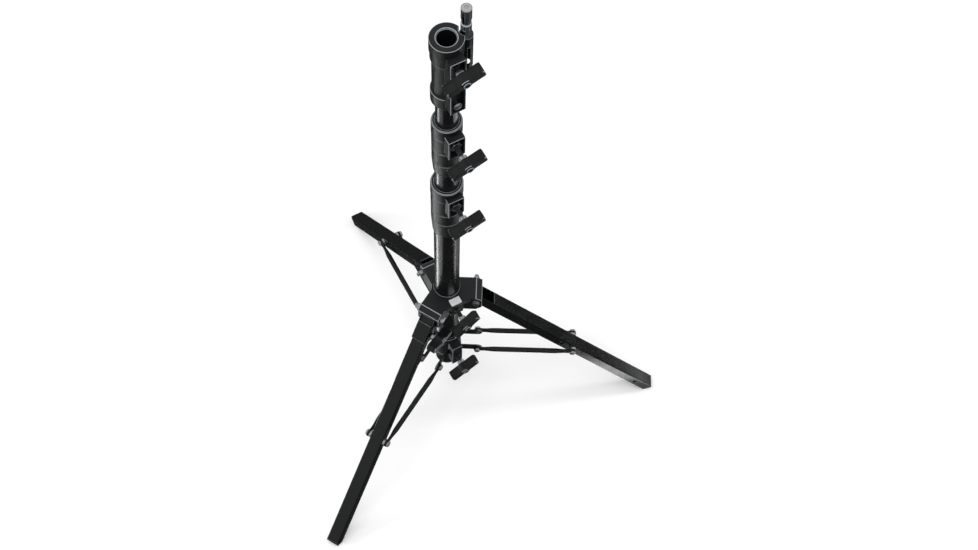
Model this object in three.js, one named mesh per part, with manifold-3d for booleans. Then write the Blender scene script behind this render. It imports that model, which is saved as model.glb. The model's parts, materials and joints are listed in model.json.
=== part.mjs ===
// A low combination lighting stand: three nested steel tubes, a 28.6 mm socket with a 16 mm stud beside it,
// three folding legs with paired braces, and one leg that slides in a sleeve to level the stand.
// Millimetres, +Z up. While it is built, the column's axis is x = y = 0 and the clamp knobs point to -Y.
import * as THREE from 'three';
import { mergeVertices } from 'three/addons/utils/BufferGeometryUtils.js';
import Module from 'manifold-3d';

const wasm = await Module();
wasm.setup();

// ---------------------------------------------------------------- driving dimensions
const GAP = 0.35;             // between pieces that touch
const FACETS = { round: 24, small: 10 };

const BASE_TUBE = { r: 22.5, bore: 20.5, bottom: 130, top: 815 };
const LOWER_RISER = { r: 20, bore: 18, bottom: 170, top: 1003 };
const UPPER_RISER = { r: 17.5, bore: 15.5, bottom: 215, top: 1124 };

const LOWER_CLAMP = {
  name: 'lower_clamp', tube: BASE_TUBE, riser: LOWER_RISER, r: 26.75, capR: 27.2, taperR: 24.6,
  capTop: 829, capBottom: 801, grooves: [754], taperTop: 718, bottom: 678, knobFront: 78.6,
};
const UPPER_CLAMP = {
  name: 'upper_clamp', tube: LOWER_RISER, riser: UPPER_RISER, r: 24, capR: 24.4, taperR: 22.1,
  capTop: 1017, capBottom: 989, grooves: [949], taperTop: 908, bottom: 879, knobFront: 75.3,
};
const CLAMP_KNOB_TILT = 20;   // degrees, the end towards +X is the higher one
const CLAMP_BOSS = { width: 28.5, front: 34, aboveScrew: 23, belowScrew: 24, wall: 3, floor: 4 };
const SCREW_BELOW_CAP = 35.5;
const GROOVE = { width: 2, depth: 1.2 };

const SCREW = { r: 4, hole: 4.6, collarR: 7, collarLength: 6, inKnob: 10 };
const T_KNOB = { length: 62, depth: 18, thickness: 13, hubR: 9.5, faceR: 6, faceHeight: 2 };
const NUT = { acrossFlats: 17, thickness: 7 };

const RECEIVER = {
  bottom: 1081, lowFlangeTop: 1107, collarBottom: 1187, collarStep: 1206, top: 1231,
  lowFlangeR: 24.5, bodyR: 22, stepR: 24.3, flangeR: 25.5, socketR: 14.3, socketFloor: 1141,
};
const RECEIVER_BOSS = { width: 25, front: 36, bottom: 1088, top: 1215, wall: 3, floorAt: 27.5 };
const SOCKET_SCREW_Z = 1194;
const SOCKET_KNOB = { front: 61, tilt: 19.5 };
const RETAINING_BOLT = { z: 1101, r: 3.2, headR: 7.5, headFront: 37.2 };

const STUD_TUBE = {
  x: 30.5, r: 10.5, bore: 8.5, bottom: 1146, top: 1220, slotWidth: 5.2, slotBottom: 1157.5,
};
const STUD = {
  r: 8, top: 1282, bottom: 1192, grooveBottom: 1246, grooveTop: 1258, grooveR: 6.4,
  centreR: 3.2, centreDepth: 1.5,
};
const STUD_SCREW = { z: 1200.5, r: 2.2, front: 11.2, depth: 4 };

const HUB = {
  top: 433, barrelR: 29, barrelBottom: 384, neckTop: 441, neckR: 25.4, neckTopR: 24.2, armWidth: 44,
  plate: 4, plateEnd: 54, noseEnd: 65, noseDrop: 7, cheekBottom: 388, lugWidth: 54, lugFront: 41,
  lugThickness: 12, bossWidth: 25, bossBottom: 396,
};
const HUB_KNOB = { z: 411, front: 82.5, tilt: 44 };
const RATING_PLATE = { width: 21, inner: 26, outer: 40, thickness: 0.8 };

const HINGE = { r: 54, z: 418, boltR: 4, headR: 6.8, headHeight: 5, nutHeight: 7, endHeight: 5 };
const LEG = {
  width: 26, above: 8.5, below: 16, wall: 2, topWallFrom: 42, bottomWallFrom: 12,
  footHoleFromEnd: 45, footHoleR: 4.5, hingeHoleR: 4.4,
};
const FOOT_PLUG = { depth: 20, lip: 6, cornerR: 5 };
const BRACE_ON_LEG = { r: 247, z: 202 };
const BRACE_ON_COLLAR = { r: 60, z: 199 };
const BRACE = { rodR: 5, plate: 4, eyeR: 7, inner: 17.9, flatLength: 20, hole: 3.6 };
const BRACE_BOLT = { r: 3.2, headR: 6, headHeight: 3.8, washerR: 7 };

const SLEEVE = { wall: 1.8, end: 58, topWallFrom: 20, knobAt: 42, knobFront: 42, knobTilt: -70 };
const LEVELING_LEG_STARTS = 6;    // the leveling leg's tube starts in its sleeve, just past the hinge bolt

const BRACE_COLLAR = {
  r: 28, bottom: 165, top: 250, bossWidth: 21, bossFront: 44, bossBottom: 172, bossTop: 240,
  earInner: 14.6, earOuter: 17.5, earHalfHeight: 9, screwZ: 200, knobFront: 80, knobTilt: 32,
};

// Legs by azimuth: which side shows the hinge bolt's nut, and which leg levels the stand.
const LEGS = [
  { name: 'back', azimuth: 90, nutSide: 1, forkWidth: 27.5 },
  { name: 'right', azimuth: -30, nutSide: 1, forkWidth: 27.5 },
  { name: 'leveling', azimuth: -150, nutSide: -1, forkWidth: 31.4 },
];

// ---------------------------------------------------------------- materials
const finish = (color, roughness, metalness) =>
  new THREE.MeshStandardMaterial({ color, roughness, metalness });
const blackSteel = finish(0x17181a, 0.5, 0.35);
const blackCasting = finish(0x1b1c1e, 0.6, 0.3);
const blackPlastic = finish(0x141415, 0.55, 0);
const zinc = finish(0xbfc2c4, 0.35, 1);
const chrome = finish(0xd9dbdd, 0.15, 1);
const plateWhite = finish(0xe4e5e2, 0.6, 0);
const rubber = finish(0x101010, 0.85, 0);

// ---------------------------------------------------------------- solids
const radians = THREE.MathUtils.degToRad;

// Shared vertices are merged, slivers without area are dropped and the faces are turned outwards.
function welded(geometry) {
  const bare = new THREE.BufferGeometry();
  bare.setAttribute('position', geometry.getAttribute('position').clone());
  bare.setIndex(geometry.index ? geometry.index.clone() : null);
  const merged = mergeVertices(bare, 1e-4);
  const position = merged.getAttribute('position');
  const corners = [];
  let volume = 0;
  const [a, b, c] = [new THREE.Vector3(), new THREE.Vector3(), new THREE.Vector3()];
  for (let i = 0; i < merged.index.count; i += 3) {
    const [p, q, r] = [0, 1, 2].map((k) => merged.index.getX(i + k));
    if (p === q || q === r || r === p) continue;
    corners.push(p, q, r);
    a.fromBufferAttribute(position, p);
    b.fromBufferAttribute(position, q);
    c.fromBufferAttribute(position, r);
    volume += a.dot(b.cross(c));
  }
  merged.setIndex(volume < 0 ? corners.reverse() : corners);
  return merged;
}

function toSolid(geometry) {
  const closed = welded(geometry);
  return new wasm.Manifold(new wasm.Mesh({
    numProp: 3,
    vertProperties: new Float32Array(closed.getAttribute('position').array),
    triVerts: new Uint32Array(closed.index.array),
  }));
}

function toGeometry(solid) {
  const { vertProperties, triVerts } = solid.getMesh();
  const geometry = new THREE.BufferGeometry();
  geometry.setAttribute('position', new THREE.BufferAttribute(vertProperties, 3));
  geometry.setIndex(new THREE.BufferAttribute(triVerts, 1));
  return geometry;
}

const joined = (...geometries) => toGeometry(geometries.map(toSolid).reduce((sum, next) => sum.add(next)));
const cut = (body, ...tools) =>
  toGeometry(tools.map(toSolid).reduce((rest, tool) => rest.subtract(tool), toSolid(body)));

function box(x0, x1, y0, y1, z0, z1) {
  return new THREE.BoxGeometry(x1 - x0, y1 - y0, z1 - z0)
    .translate((x0 + x1) / 2, (y0 + y1) / 2, (z0 + z1) / 2);
}

// A turned shape about Z. Its profile is a list of [radius, z], and starts and ends on the axis or closes
// on itself.
function turned(profile, facets = FACETS.round) {
  const points = profile.map(([r, z]) => new THREE.Vector2(r, z));
  return new THREE.LatheGeometry(points, facets).rotateX(Math.PI / 2);
}

const rod = (r, z0, z1, facets = FACETS.round) => turned([[0, z0], [r, z0], [r, z1], [0, z1]], facets);

function ring(profile, facets) {
  return turned([...profile, profile[0]], facets);
}

const pipe = ({ r, bore, bottom, top }) =>
  ring([[bore, bottom], [r, bottom], [r, top], [bore, top]], FACETS.round);

// A rod or a turned shape made about Z is laid along +Y or -Y, or pointed to -Y from the column's axis.
const alongY = (geometry, side = 1) => geometry.rotateX(-side * Math.PI / 2);
const holeToFront = (r, from, to, x, z) =>
  alongY(rod(r, from, to, FACETS.small), -1).translate(x, 0, z);

// A plate with its outline in x and z and its thickness along y, from y0 to y1.
function plateXZ(shape, y0, y1, curveSegments = 8) {
  return new THREE.ExtrudeGeometry(shape, { depth: y1 - y0, bevelEnabled: false, curveSegments })
    .rotateX(Math.PI / 2)
    .translate(0, y1, 0);
}

// ---------------------------------------------------------------- scene helpers
const stand = new THREE.Group();

function piece(parent, name, geometry, material) {
  const mesh = new THREE.Mesh(welded(geometry), material);
  mesh.name = name;
  parent.add(mesh);
  return mesh;
}

function frameAt(parent, x, y, z) {
  const frame = new THREE.Group();
  frame.position.set(x, y, z);
  parent.add(frame);
  return frame;
}

// ---------------------------------------------------------------- T-knob with its screw
// The frame's +Z is the screw's axis, pointing out of the clamp, and its +X the bar's length.
function tKnobBar() {
  const half = T_KNOB.length / 2;
  const thin = T_KNOB.thickness / 2;
  const hubAngle = Math.asin(thin / T_KNOB.hubR);
  const outline = new THREE.Shape();
  outline.moveTo(half, -thin + 2);
  outline.lineTo(half, thin - 2);
  outline.lineTo(half - 2, thin);
  outline.absarc(0, 0, T_KNOB.hubR, hubAngle, Math.PI - hubAngle, false);
  outline.lineTo(-half + 2, thin);
  outline.lineTo(-half, thin - 2);
  outline.lineTo(-half, -thin + 2);
  outline.lineTo(-half + 2, -thin);
  outline.absarc(0, 0, T_KNOB.hubR, Math.PI + hubAngle, 2 * Math.PI - hubAngle, false);
  outline.lineTo(half - 2, -thin);
  return new THREE.ExtrudeGeometry(outline, { depth: T_KNOB.depth, bevelEnabled: false, curveSegments: 6 });
}

function tKnob(parent, name, tip, front) {
  const back = front - T_KNOB.depth;
  const bar = tKnobBar().translate(0, 0, back);
  const face = rod(T_KNOB.faceR, front - 1, front + T_KNOB.faceHeight, FACETS.small);
  const bore = rod(SCREW.r + GAP, back - 1, back + SCREW.inKnob + GAP, FACETS.small);
  piece(parent, `${name}_knob`, cut(joined(bar, face), bore), blackPlastic);
  const collarEnd = back - GAP;
  const collarStart = collarEnd - SCREW.collarLength;
  piece(parent, `${name}_screw`, turned([
    [0, tip], [SCREW.r - 1, tip], [SCREW.r, tip + 1.5], [SCREW.r, collarStart],
    [SCREW.collarR, collarStart], [SCREW.collarR, collarEnd], [SCREW.r, collarEnd],
    [SCREW.r, back + SCREW.inKnob], [0, back + SCREW.inKnob],
  ], FACETS.small), zinc);
}

function frontKnob(name, z, tip, front, tilt) {
  const frame = frameAt(stand, 0, 0, z);
  frame.rotation.set(Math.PI / 2, 0, radians(tilt));
  tKnob(frame, name, tip, front);
}

// ---------------------------------------------------------------- column tubes
piece(stand, 'base_tube', cut(pipe(BASE_TUBE),
  holeToFront(SCREW.hole, 10, 30, 0, LOWER_CLAMP.capTop - SCREW_BELOW_CAP)), blackSteel);
piece(stand, 'lower_riser', cut(pipe(LOWER_RISER),
  holeToFront(SCREW.hole, 10, 30, 0, UPPER_CLAMP.capTop - SCREW_BELOW_CAP)), blackSteel);
piece(stand, 'upper_riser', pipe(UPPER_RISER), blackSteel);

piece(stand, 'base_tube_end_plug', turned([
  [0, BASE_TUBE.bottom - 3], [BASE_TUBE.r, BASE_TUBE.bottom - 3], [BASE_TUBE.r, BASE_TUBE.bottom - GAP],
  [BASE_TUBE.bore - GAP, BASE_TUBE.bottom - GAP], [BASE_TUBE.bore - GAP, BASE_TUBE.bottom + 16],
  [BASE_TUBE.bore - 3, BASE_TUBE.bottom + 16], [BASE_TUBE.bore - 3, BASE_TUBE.bottom + 1],
  [0, BASE_TUBE.bottom + 1],
], FACETS.round), blackPlastic);

// Each riser stands on a plastic ring that guides it in the tube outside it.
function guideBush(name, riser, outsideBore) {
  const shoulder = riser.bottom - GAP;
  piece(stand, name, ring([
    [riser.bore - 4, shoulder - 11], [outsideBore - GAP, shoulder - 11], [outsideBore - GAP, shoulder],
    [riser.bore - GAP, shoulder], [riser.bore - GAP, riser.bottom + 20],
    [riser.bore - 4, riser.bottom + 20],
  ], FACETS.round), blackPlastic);
}
guideBush('lower_riser_guide_bush', LOWER_RISER, BASE_TUBE.bore);
guideBush('upper_riser_guide_bush', UPPER_RISER, LOWER_RISER.bore);

// ---------------------------------------------------------------- riser clamps
function clampProfile(clamp) {
  const top = clamp.capBottom - GAP;
  const bore = clamp.tube.r + GAP;
  const profile = [[bore, clamp.bottom], [clamp.taperR, clamp.bottom], [clamp.r, clamp.taperTop]];
  for (const z of [clamp.taperTop + 4, ...clamp.grooves]) {
    profile.push([clamp.r, z], [clamp.r - GROOVE.depth, z], [clamp.r - GROOVE.depth, z + GROOVE.width],
      [clamp.r, z + GROOVE.width]);
  }
  profile.push([clamp.r, top], [bore, top]);
  return profile;
}

function riserClamp(clamp) {
  const screwZ = clamp.capTop - SCREW_BELOW_CAP;
  const half = CLAMP_BOSS.width / 2;
  const pocket = half - CLAMP_BOSS.wall;
  const bossTop = screwZ + CLAMP_BOSS.aboveScrew;
  const bossBottom = screwZ - CLAMP_BOSS.belowScrew;
  const floorAt = clamp.tube.r + GAP + CLAMP_BOSS.floor;

  const boss = box(-half, half, -CLAMP_BOSS.front, -10, bossBottom, bossTop);
  const body = joined(ring(clampProfile(clamp)), boss);
  piece(stand, `${clamp.name}_collar`, cut(body,
    rod(clamp.tube.r + GAP, bossBottom - 5, bossTop + 5),
    box(-pocket, pocket, -CLAMP_BOSS.front - 1, -floorAt,
      bossBottom + CLAMP_BOSS.wall, bossTop - CLAMP_BOSS.wall),
    holeToFront(SCREW.hole, 10, CLAMP_BOSS.front, 0, screwZ)), blackCasting);

  const seat = clamp.tube.top + GAP;
  const cap = ring([
    [clamp.tube.r + GAP, clamp.capBottom], [clamp.capR, clamp.capBottom], [clamp.capR, clamp.capTop - 1.5],
    [clamp.capR - 1.5, clamp.capTop], [clamp.riser.r + 0.4, clamp.capTop], [clamp.riser.r + 0.4, seat],
    [clamp.tube.r + GAP, seat],
  ]);
  piece(stand, `${clamp.name}_cap_ring`, cut(cap,
    box(-half - GAP, half + GAP, -clamp.capR - 2, -10, clamp.capBottom - 1, bossTop + GAP)), blackPlastic);

  const nut = rod(NUT.acrossFlats / Math.sqrt(3), floorAt + GAP, floorAt + GAP + NUT.thickness, 6);
  piece(stand, `${clamp.name}_nut`, alongY(cut(nut, rod(SCREW.hole, 0, 60, FACETS.small)), -1)
    .translate(0, 0, screwZ), zinc);
  frontKnob(clamp.name, screwZ, clamp.riser.r + GAP, clamp.knobFront, CLAMP_KNOB_TILT);
}
riserClamp(LOWER_CLAMP);
riserClamp(UPPER_CLAMP);

// ---------------------------------------------------------------- head: socket receiver and stud
function receiver() {
  const half = RECEIVER_BOSS.width / 2;
  const body = turned([
    [0, RECEIVER.bottom], [RECEIVER.lowFlangeR, RECEIVER.bottom],
    [RECEIVER.lowFlangeR, RECEIVER.lowFlangeTop], [RECEIVER.bodyR, RECEIVER.lowFlangeTop + 3],
    [RECEIVER.bodyR, RECEIVER.collarBottom - 3],
    [RECEIVER.stepR, RECEIVER.collarBottom], [RECEIVER.stepR, RECEIVER.collarStep],
    [RECEIVER.flangeR, RECEIVER.collarStep], [RECEIVER.flangeR, RECEIVER.top - 1],
    [RECEIVER.flangeR - 1, RECEIVER.top], [0, RECEIVER.top],
  ]);
  const boss = box(-half, half, -RECEIVER_BOSS.front, -12, RECEIVER_BOSS.bottom, RECEIVER_BOSS.top);
  const pocket = half - RECEIVER_BOSS.wall;
  return cut(joined(body, boss),
    rod(RECEIVER.socketR, RECEIVER.socketFloor, RECEIVER.top + 1),
    rod(UPPER_RISER.r + GAP, RECEIVER.bottom - 1, UPPER_RISER.top + GAP),
    rod(STUD_TUBE.r + GAP, STUD_TUBE.bottom - 4, RECEIVER.top + 1).translate(STUD_TUBE.x, 0, 0),
    box(-pocket, pocket, -RECEIVER_BOSS.front - 1, -RECEIVER_BOSS.floorAt,
      RECEIVER_BOSS.bottom + RECEIVER_BOSS.wall, RECEIVER_BOSS.top - RECEIVER_BOSS.wall),
    holeToFront(SCREW.hole, 8, 30, 0, SOCKET_SCREW_Z),
    holeToFront(RETAINING_BOLT.r + 0.4, 14, 30, 0, RETAINING_BOLT.z));
}
piece(stand, 'socket_receiver', receiver(), blackCasting);
frontKnob('socket_clamp', SOCKET_SCREW_Z, RECEIVER.socketR, SOCKET_KNOB.front, SOCKET_KNOB.tilt);

const boltHeadBack = RECEIVER_BOSS.floorAt + GAP;
piece(stand, 'receiver_retaining_bolt', alongY(turned([
  [0, UPPER_RISER.r + GAP], [RETAINING_BOLT.r, UPPER_RISER.r + GAP], [RETAINING_BOLT.r, boltHeadBack],
  [RETAINING_BOLT.headR, boltHeadBack], [RETAINING_BOLT.headR, RETAINING_BOLT.headFront - 4],
  [RETAINING_BOLT.headR * 0.75, RETAINING_BOLT.headFront - 1], [0, RETAINING_BOLT.headFront],
], FACETS.small), -1).translate(0, 0, RETAINING_BOLT.z), zinc);

// The stud slides in its tube. Its guide screw runs in the slot, and stands at the slot's top while the
// stud is up.
const studFrame = frameAt(stand, STUD_TUBE.x, 0, 0);
const slotHalf = STUD_TUBE.slotWidth / 2;
const slotTop = STUD_SCREW.z + STUD_SCREW.r + GAP;
piece(studFrame, 'stud_tube', cut(pipe(STUD_TUBE),
  box(-slotHalf, slotHalf, -STUD_TUBE.r - 1, -STUD_TUBE.bore / 2, STUD_TUBE.slotBottom, slotTop)),
blackSteel);
piece(studFrame, 'stud', cut(turned([
  [0, STUD.bottom], [STUD.r - 1, STUD.bottom], [STUD.r, STUD.bottom + 1], [STUD.r, STUD.grooveBottom],
  [STUD.grooveR, STUD.grooveBottom + 1.5], [STUD.grooveR, STUD.grooveTop - 1.5], [STUD.r, STUD.grooveTop],
  [STUD.r, STUD.top - 1.5], [STUD.r - 1.5, STUD.top], [STUD.centreR, STUD.top],
  [STUD.centreR, STUD.top - STUD.centreDepth], [0, STUD.top - STUD.centreDepth],
]), holeToFront(STUD_SCREW.r + GAP, STUD.r - STUD_SCREW.depth, STUD.r + 2, 0, STUD_SCREW.z)), chrome);
piece(studFrame, 'stud_guide_screw', alongY(
  rod(STUD_SCREW.r, STUD.r - STUD_SCREW.depth + GAP, STUD_SCREW.front, FACETS.small), -1)
  .translate(0, 0, STUD_SCREW.z), zinc);

// ---------------------------------------------------------------- leg hub
function hubArm(azimuth) {
  const half = HUB.armWidth / 2;
  const side = new THREE.Shape();
  side.moveTo(0, HUB.top);
  side.lineTo(0, HUB.cheekBottom);
  side.lineTo(HUB.plateEnd, HUB.cheekBottom);
  side.lineTo(HUB.noseEnd, HUB.cheekBottom + 10);
  side.lineTo(HUB.noseEnd, HUB.top - HUB.noseDrop);
  side.lineTo(HUB.plateEnd, HUB.top);
  return plateXZ(side, -half, half).rotateZ(radians(azimuth));
}

function hubFork({ azimuth, forkWidth }) {
  const half = forkWidth / 2;
  const side = new THREE.Shape();
  const roof = HUB.top - HUB.plate;
  side.moveTo(HUB.barrelR, HUB.cheekBottom - 10);
  side.lineTo(HUB.noseEnd + 5, HUB.cheekBottom - 10);
  side.lineTo(HUB.noseEnd + 5, roof - HUB.noseDrop);
  side.lineTo(HUB.noseEnd, roof - HUB.noseDrop);
  side.lineTo(HUB.plateEnd, roof);
  side.lineTo(HUB.barrelR, roof);
  return plateXZ(side, -half, half).rotateZ(radians(azimuth));
}

const hingeHole = (azimuth) => alongY(rod(HINGE.boltR + 0.4, -30, 30, FACETS.small))
  .translate(HINGE.r, 0, HINGE.z).rotateZ(radians(azimuth));

const azimuths = LEGS.map((leg) => leg.azimuth);
const hubBarrel = turned([
  [0, HUB.barrelBottom], [HUB.barrelR, HUB.barrelBottom], [HUB.barrelR, HUB.top], [HUB.neckR, HUB.top],
  [HUB.neckTopR, HUB.neckTop], [0, HUB.neckTop],
]);
const hubLug = box(-HUB.lugWidth / 2, HUB.lugWidth / 2, -HUB.lugFront, 0,
  HUB.top - HUB.lugThickness, HUB.top);
const hubBoss = box(-HUB.bossWidth / 2, HUB.bossWidth / 2, -HUB.lugFront, 0, HUB.bossBottom, HUB.top - 1);
piece(stand, 'leg_hub', cut(joined(hubBarrel, hubLug, hubBoss, ...azimuths.map(hubArm)),
  rod(BASE_TUBE.r + GAP, HUB.barrelBottom - 1, HUB.neckTop + 1),
  ...LEGS.map(hubFork), ...azimuths.map(hingeHole),
  holeToFront(SCREW.hole, 15, HUB.lugFront + 2, 0, HUB_KNOB.z)), blackCasting);
frontKnob('hub_clamp', HUB_KNOB.z, BASE_TUBE.r + GAP, HUB_KNOB.front, HUB_KNOB.tilt);

piece(stand, 'rating_plate', box(-RATING_PLATE.width / 2, RATING_PLATE.width / 2, -RATING_PLATE.outer,
  -RATING_PLATE.inner, HUB.top + GAP, HUB.top + GAP + RATING_PLATE.thickness), plateWhite);

// ---------------------------------------------------------------- legs
const spread = new THREE.Vector2(BRACE_ON_LEG.r - HINGE.r, HINGE.z - BRACE_ON_LEG.z);
const braceAt = spread.length();                       // along the leg, from its hinge to the brace's bolt
const legTilt = Math.atan2(spread.y, spread.x);        // below the horizontal

// In a leg's own frame +X runs down the leg from its hinge, +Y is across it and +Z is out of its top face.
const [legSine, legCosine] = [Math.sin(legTilt), Math.cos(legTilt)];
const legEnd = (HINGE.z - LEG.below * legCosine + FOOT_PLUG.cornerR * (legSine + legCosine - 1)) / legSine;
const tubeEnd = legEnd - FOOT_PLUG.lip;

function channel(half, above, below, wall, start, end, topWallFrom, bottomWallFrom) {
  const side = new THREE.Shape();
  side.moveTo(end, above);
  side.lineTo(start === 0 ? topWallFrom : start, above);
  if (start === 0) side.absarc(0, 0, LEG.above, Math.PI / 2, 1.25 * Math.PI, false);
  side.lineTo(start === 0 ? below * 0.75 : start, -below);
  side.lineTo(end, -below);
  const inner = half - wall;
  const open = start - 3 * above;
  return cut(plateXZ(side, -half, half),
    box(open, end + 1, -inner, inner, wall - below, above - wall),
    box(open, topWallFrom, -inner, inner, 0, above + 5),
    box(open, bottomWallFrom, -inner, inner, -below - 5, 0));
}

const across = (r, x, z) => alongY(rod(r, -40, 40, FACETS.small)).translate(x, 0, z);
const middle = (LEG.above - LEG.below) / 2;

function legTube(start) {
  const from = start === 0 ? [LEG.topWallFrom, LEG.bottomWallFrom] : [start, start];
  const tube = channel(LEG.width / 2, LEG.above, LEG.below, LEG.wall, start, tubeEnd, ...from);
  const foot = across(LEG.footHoleR, legEnd - LEG.footHoleFromEnd, middle);
  return start === 0 ? cut(tube, foot, across(LEG.hingeHoleR, 0, 0)) : cut(tube, foot);
}

function footPlug() {
  const { depth, lip, cornerR } = FOOT_PLUG;
  const half = LEG.width / 2;
  const lipSide = new THREE.Shape();
  lipSide.moveTo(tubeEnd + GAP, LEG.above);
  lipSide.lineTo(tubeEnd + GAP, -LEG.below);
  lipSide.absarc(legEnd - cornerR, -LEG.below + cornerR, cornerR, -Math.PI / 2, 0, false);
  lipSide.absarc(legEnd - cornerR, LEG.above - cornerR, cornerR, 0, Math.PI / 2, false);
  const clear = LEG.wall + GAP;
  const insert = box(tubeEnd - depth, tubeEnd + lip / 2, clear - half, half - clear,
    clear - LEG.below, LEG.above - clear);
  return joined(plateXZ(lipSide, -half, half, 4), insert);
}

function hingeBolt(nutSide) {
  const cheek = HUB.armWidth / 2 + GAP;
  const nutEnd = cheek + HINGE.nutHeight;
  const head = -cheek - HINGE.headHeight;
  const bolt = turned([
    [0, head], [HINGE.headR - 1, head], [HINGE.headR, head + 1.5], [HINGE.headR, -cheek],
    [HINGE.boltR, -cheek], [HINGE.boltR, cheek], [HINGE.headR, cheek], [HINGE.headR, nutEnd],
    [HINGE.boltR, nutEnd],
    [HINGE.boltR, nutEnd + HINGE.endHeight], [0, nutEnd + HINGE.endHeight],
  ], FACETS.small);
  return alongY(bolt, nutSide);
}

function sleeve() {
  const grow = SLEEVE.wall + GAP;
  return channel(LEG.width / 2 + grow, LEG.above + grow, LEG.below + grow, SLEEVE.wall, 0, SLEEVE.end,
    SLEEVE.topWallFrom, LEG.bottomWallFrom);
}

// ---------------------------------------------------------------- braces
const braceSpan = new THREE.Vector2(BRACE_ON_LEG.r - BRACE_ON_COLLAR.r, BRACE_ON_LEG.z - BRACE_ON_COLLAR.z);
const braceLength = braceSpan.length();

function eyePlate(centre, towards) {
  const flat = new THREE.Shape();
  flat.moveTo(centre + towards * BRACE.flatLength, BRACE.eyeR * 0.8);
  flat.lineTo(centre, BRACE.eyeR);
  flat.absarc(centre, 0, BRACE.eyeR, Math.PI / 2, 1.5 * Math.PI, towards < 0);
  flat.lineTo(centre + towards * BRACE.flatLength, -BRACE.eyeR * 0.8);
  return plateXZ(flat, BRACE.inner, BRACE.inner + BRACE.plate, 6);
}

// A brace on the +Y side of its leg; its frame's +X runs from the collar's ear to the leg.
function braceRod() {
  const middleOfPlate = BRACE.inner + BRACE.plate / 2;
  const tubeFrom = BRACE.flatLength - 4;
  const tube = rod(BRACE.rodR, tubeFrom, braceLength - tubeFrom, 12)
    .rotateY(Math.PI / 2).translate(0, middleOfPlate, 0);
  return cut(joined(eyePlate(0, 1), eyePlate(braceLength, -1), tube),
    across(BRACE.hole, 0, 0), across(BRACE.hole, braceLength, 0));
}

function braceBolt(from, washer) {
  const outside = BRACE.inner + BRACE.plate + GAP;
  const head = outside + BRACE_BOLT.headHeight;
  const inside = BRACE.inner - GAP;
  const { r, washerR } = BRACE_BOLT;
  const plain = [[0, from], [r, from]];
  const shank = washer ? [[0, from], [washerR, from], [washerR, inside], [r, inside]] : plain;
  return turned([
    ...shank, [r, outside], [BRACE_BOLT.headR, outside], [BRACE_BOLT.headR, head - 1.2],
    [BRACE_BOLT.headR - 1.2, head], [0, head],
  ], FACETS.small);
}

const sides = { left: 1, right: -1 };

LEGS.forEach(({ name, azimuth, nutSide }) => {
  const legPlane = new THREE.Group();
  legPlane.rotation.z = radians(azimuth);
  stand.add(legPlane);

  const hinge = frameAt(legPlane, HINGE.r, 0, HINGE.z);
  hinge.rotation.y = legTilt;
  const levels = name === 'leveling';
  piece(hinge, `${name}_leg_tube`, legTube(levels ? LEVELING_LEG_STARTS : 0), blackSteel);
  piece(hinge, `${name}_leg_foot_plug`, footPlug(), rubber);
  piece(hinge, `${name}_leg_hinge_bolt`, hingeBolt(nutSide), zinc);

  const ear = frameAt(legPlane, BRACE_ON_COLLAR.r, 0, BRACE_ON_COLLAR.z);
  ear.rotation.y = -Math.atan2(braceSpan.y, braceSpan.x);
  for (const [sideName, side] of Object.entries(sides)) {
    // The right-hand brace is the left-hand one turned half round its own length.
    const brace = new THREE.Group();
    brace.rotation.x = side > 0 ? 0 : Math.PI;
    ear.add(brace);
    piece(brace, `${name}_${sideName}_brace`, braceRod(), blackSteel);
    piece(brace, `${name}_${sideName}_brace_ear_bolt`,
      alongY(braceBolt(BRACE_COLLAR.earInner, false)), zinc);
    piece(brace, `${name}_${sideName}_brace_leg_bolt`,
      alongY(braceBolt(LEG.width / 2 + GAP, true)).translate(braceLength, 0, 0), zinc);
  }

  if (levels) {
    const knobFrame = frameAt(hinge, SLEEVE.knobAt, 0, middle);
    knobFrame.rotation.set(-Math.PI / 2, 0, radians(SLEEVE.knobTilt));
    const screwHole = alongY(rod(SCREW.hole, 5, 30, FACETS.small)).translate(SLEEVE.knobAt, 0, middle);
    piece(hinge, 'leveling_sleeve', cut(sleeve(), across(LEG.hingeHoleR, 0, 0), screwHole), blackSteel);
    tKnob(knobFrame, 'leveling_clamp', LEG.width / 2 + GAP, SLEEVE.knobFront);
  }
});

// ---------------------------------------------------------------- sliding brace collar
function ears(azimuth) {
  const half = BRACE_COLLAR.earHalfHeight;
  const { r, z } = BRACE_ON_COLLAR;
  const outline = new THREE.Shape();
  outline.moveTo(20, z - half);
  outline.lineTo(r, z - half);
  outline.absarc(r, z, half, -Math.PI / 2, Math.PI / 2, false);
  outline.lineTo(20, z + half);
  return [1, -1].map((side) => {
    const faces = [BRACE_COLLAR.earInner * side, BRACE_COLLAR.earOuter * side].sort((a, b) => a - b);
    return plateXZ(outline, ...faces, 6).rotateZ(radians(azimuth));
  });
}

function braceCollar() {
  const { r, bottom, top, bossWidth, bossFront, bossBottom, bossTop, screwZ } = BRACE_COLLAR;
  const bore = rod(BASE_TUBE.r + GAP, bottom - 1, top + 1);
  const body = turned([
    [0, bottom], [r - 1.5, bottom], [r, bottom + 1.5], [r, top - 1.5], [r - 1.5, top], [0, top],
  ]);
  const boss = box(-bossWidth / 2, bossWidth / 2, -bossFront, 0, bossBottom, bossTop);
  const pins = azimuths.map((azimuth) =>
    across(BRACE.hole, BRACE_ON_COLLAR.r, BRACE_ON_COLLAR.z).rotateZ(radians(azimuth)));
  return cut(joined(body, boss, ...azimuths.flatMap(ears)), bore, ...pins,
    holeToFront(SCREW.hole, 15, bossFront + 1, 0, screwZ));
}
piece(stand, 'brace_collar', braceCollar(), blackCasting);
frontKnob('brace_collar_clamp', BRACE_COLLAR.screwZ, BASE_TUBE.r + GAP, BRACE_COLLAR.knobFront,
  BRACE_COLLAR.knobTilt);

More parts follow.
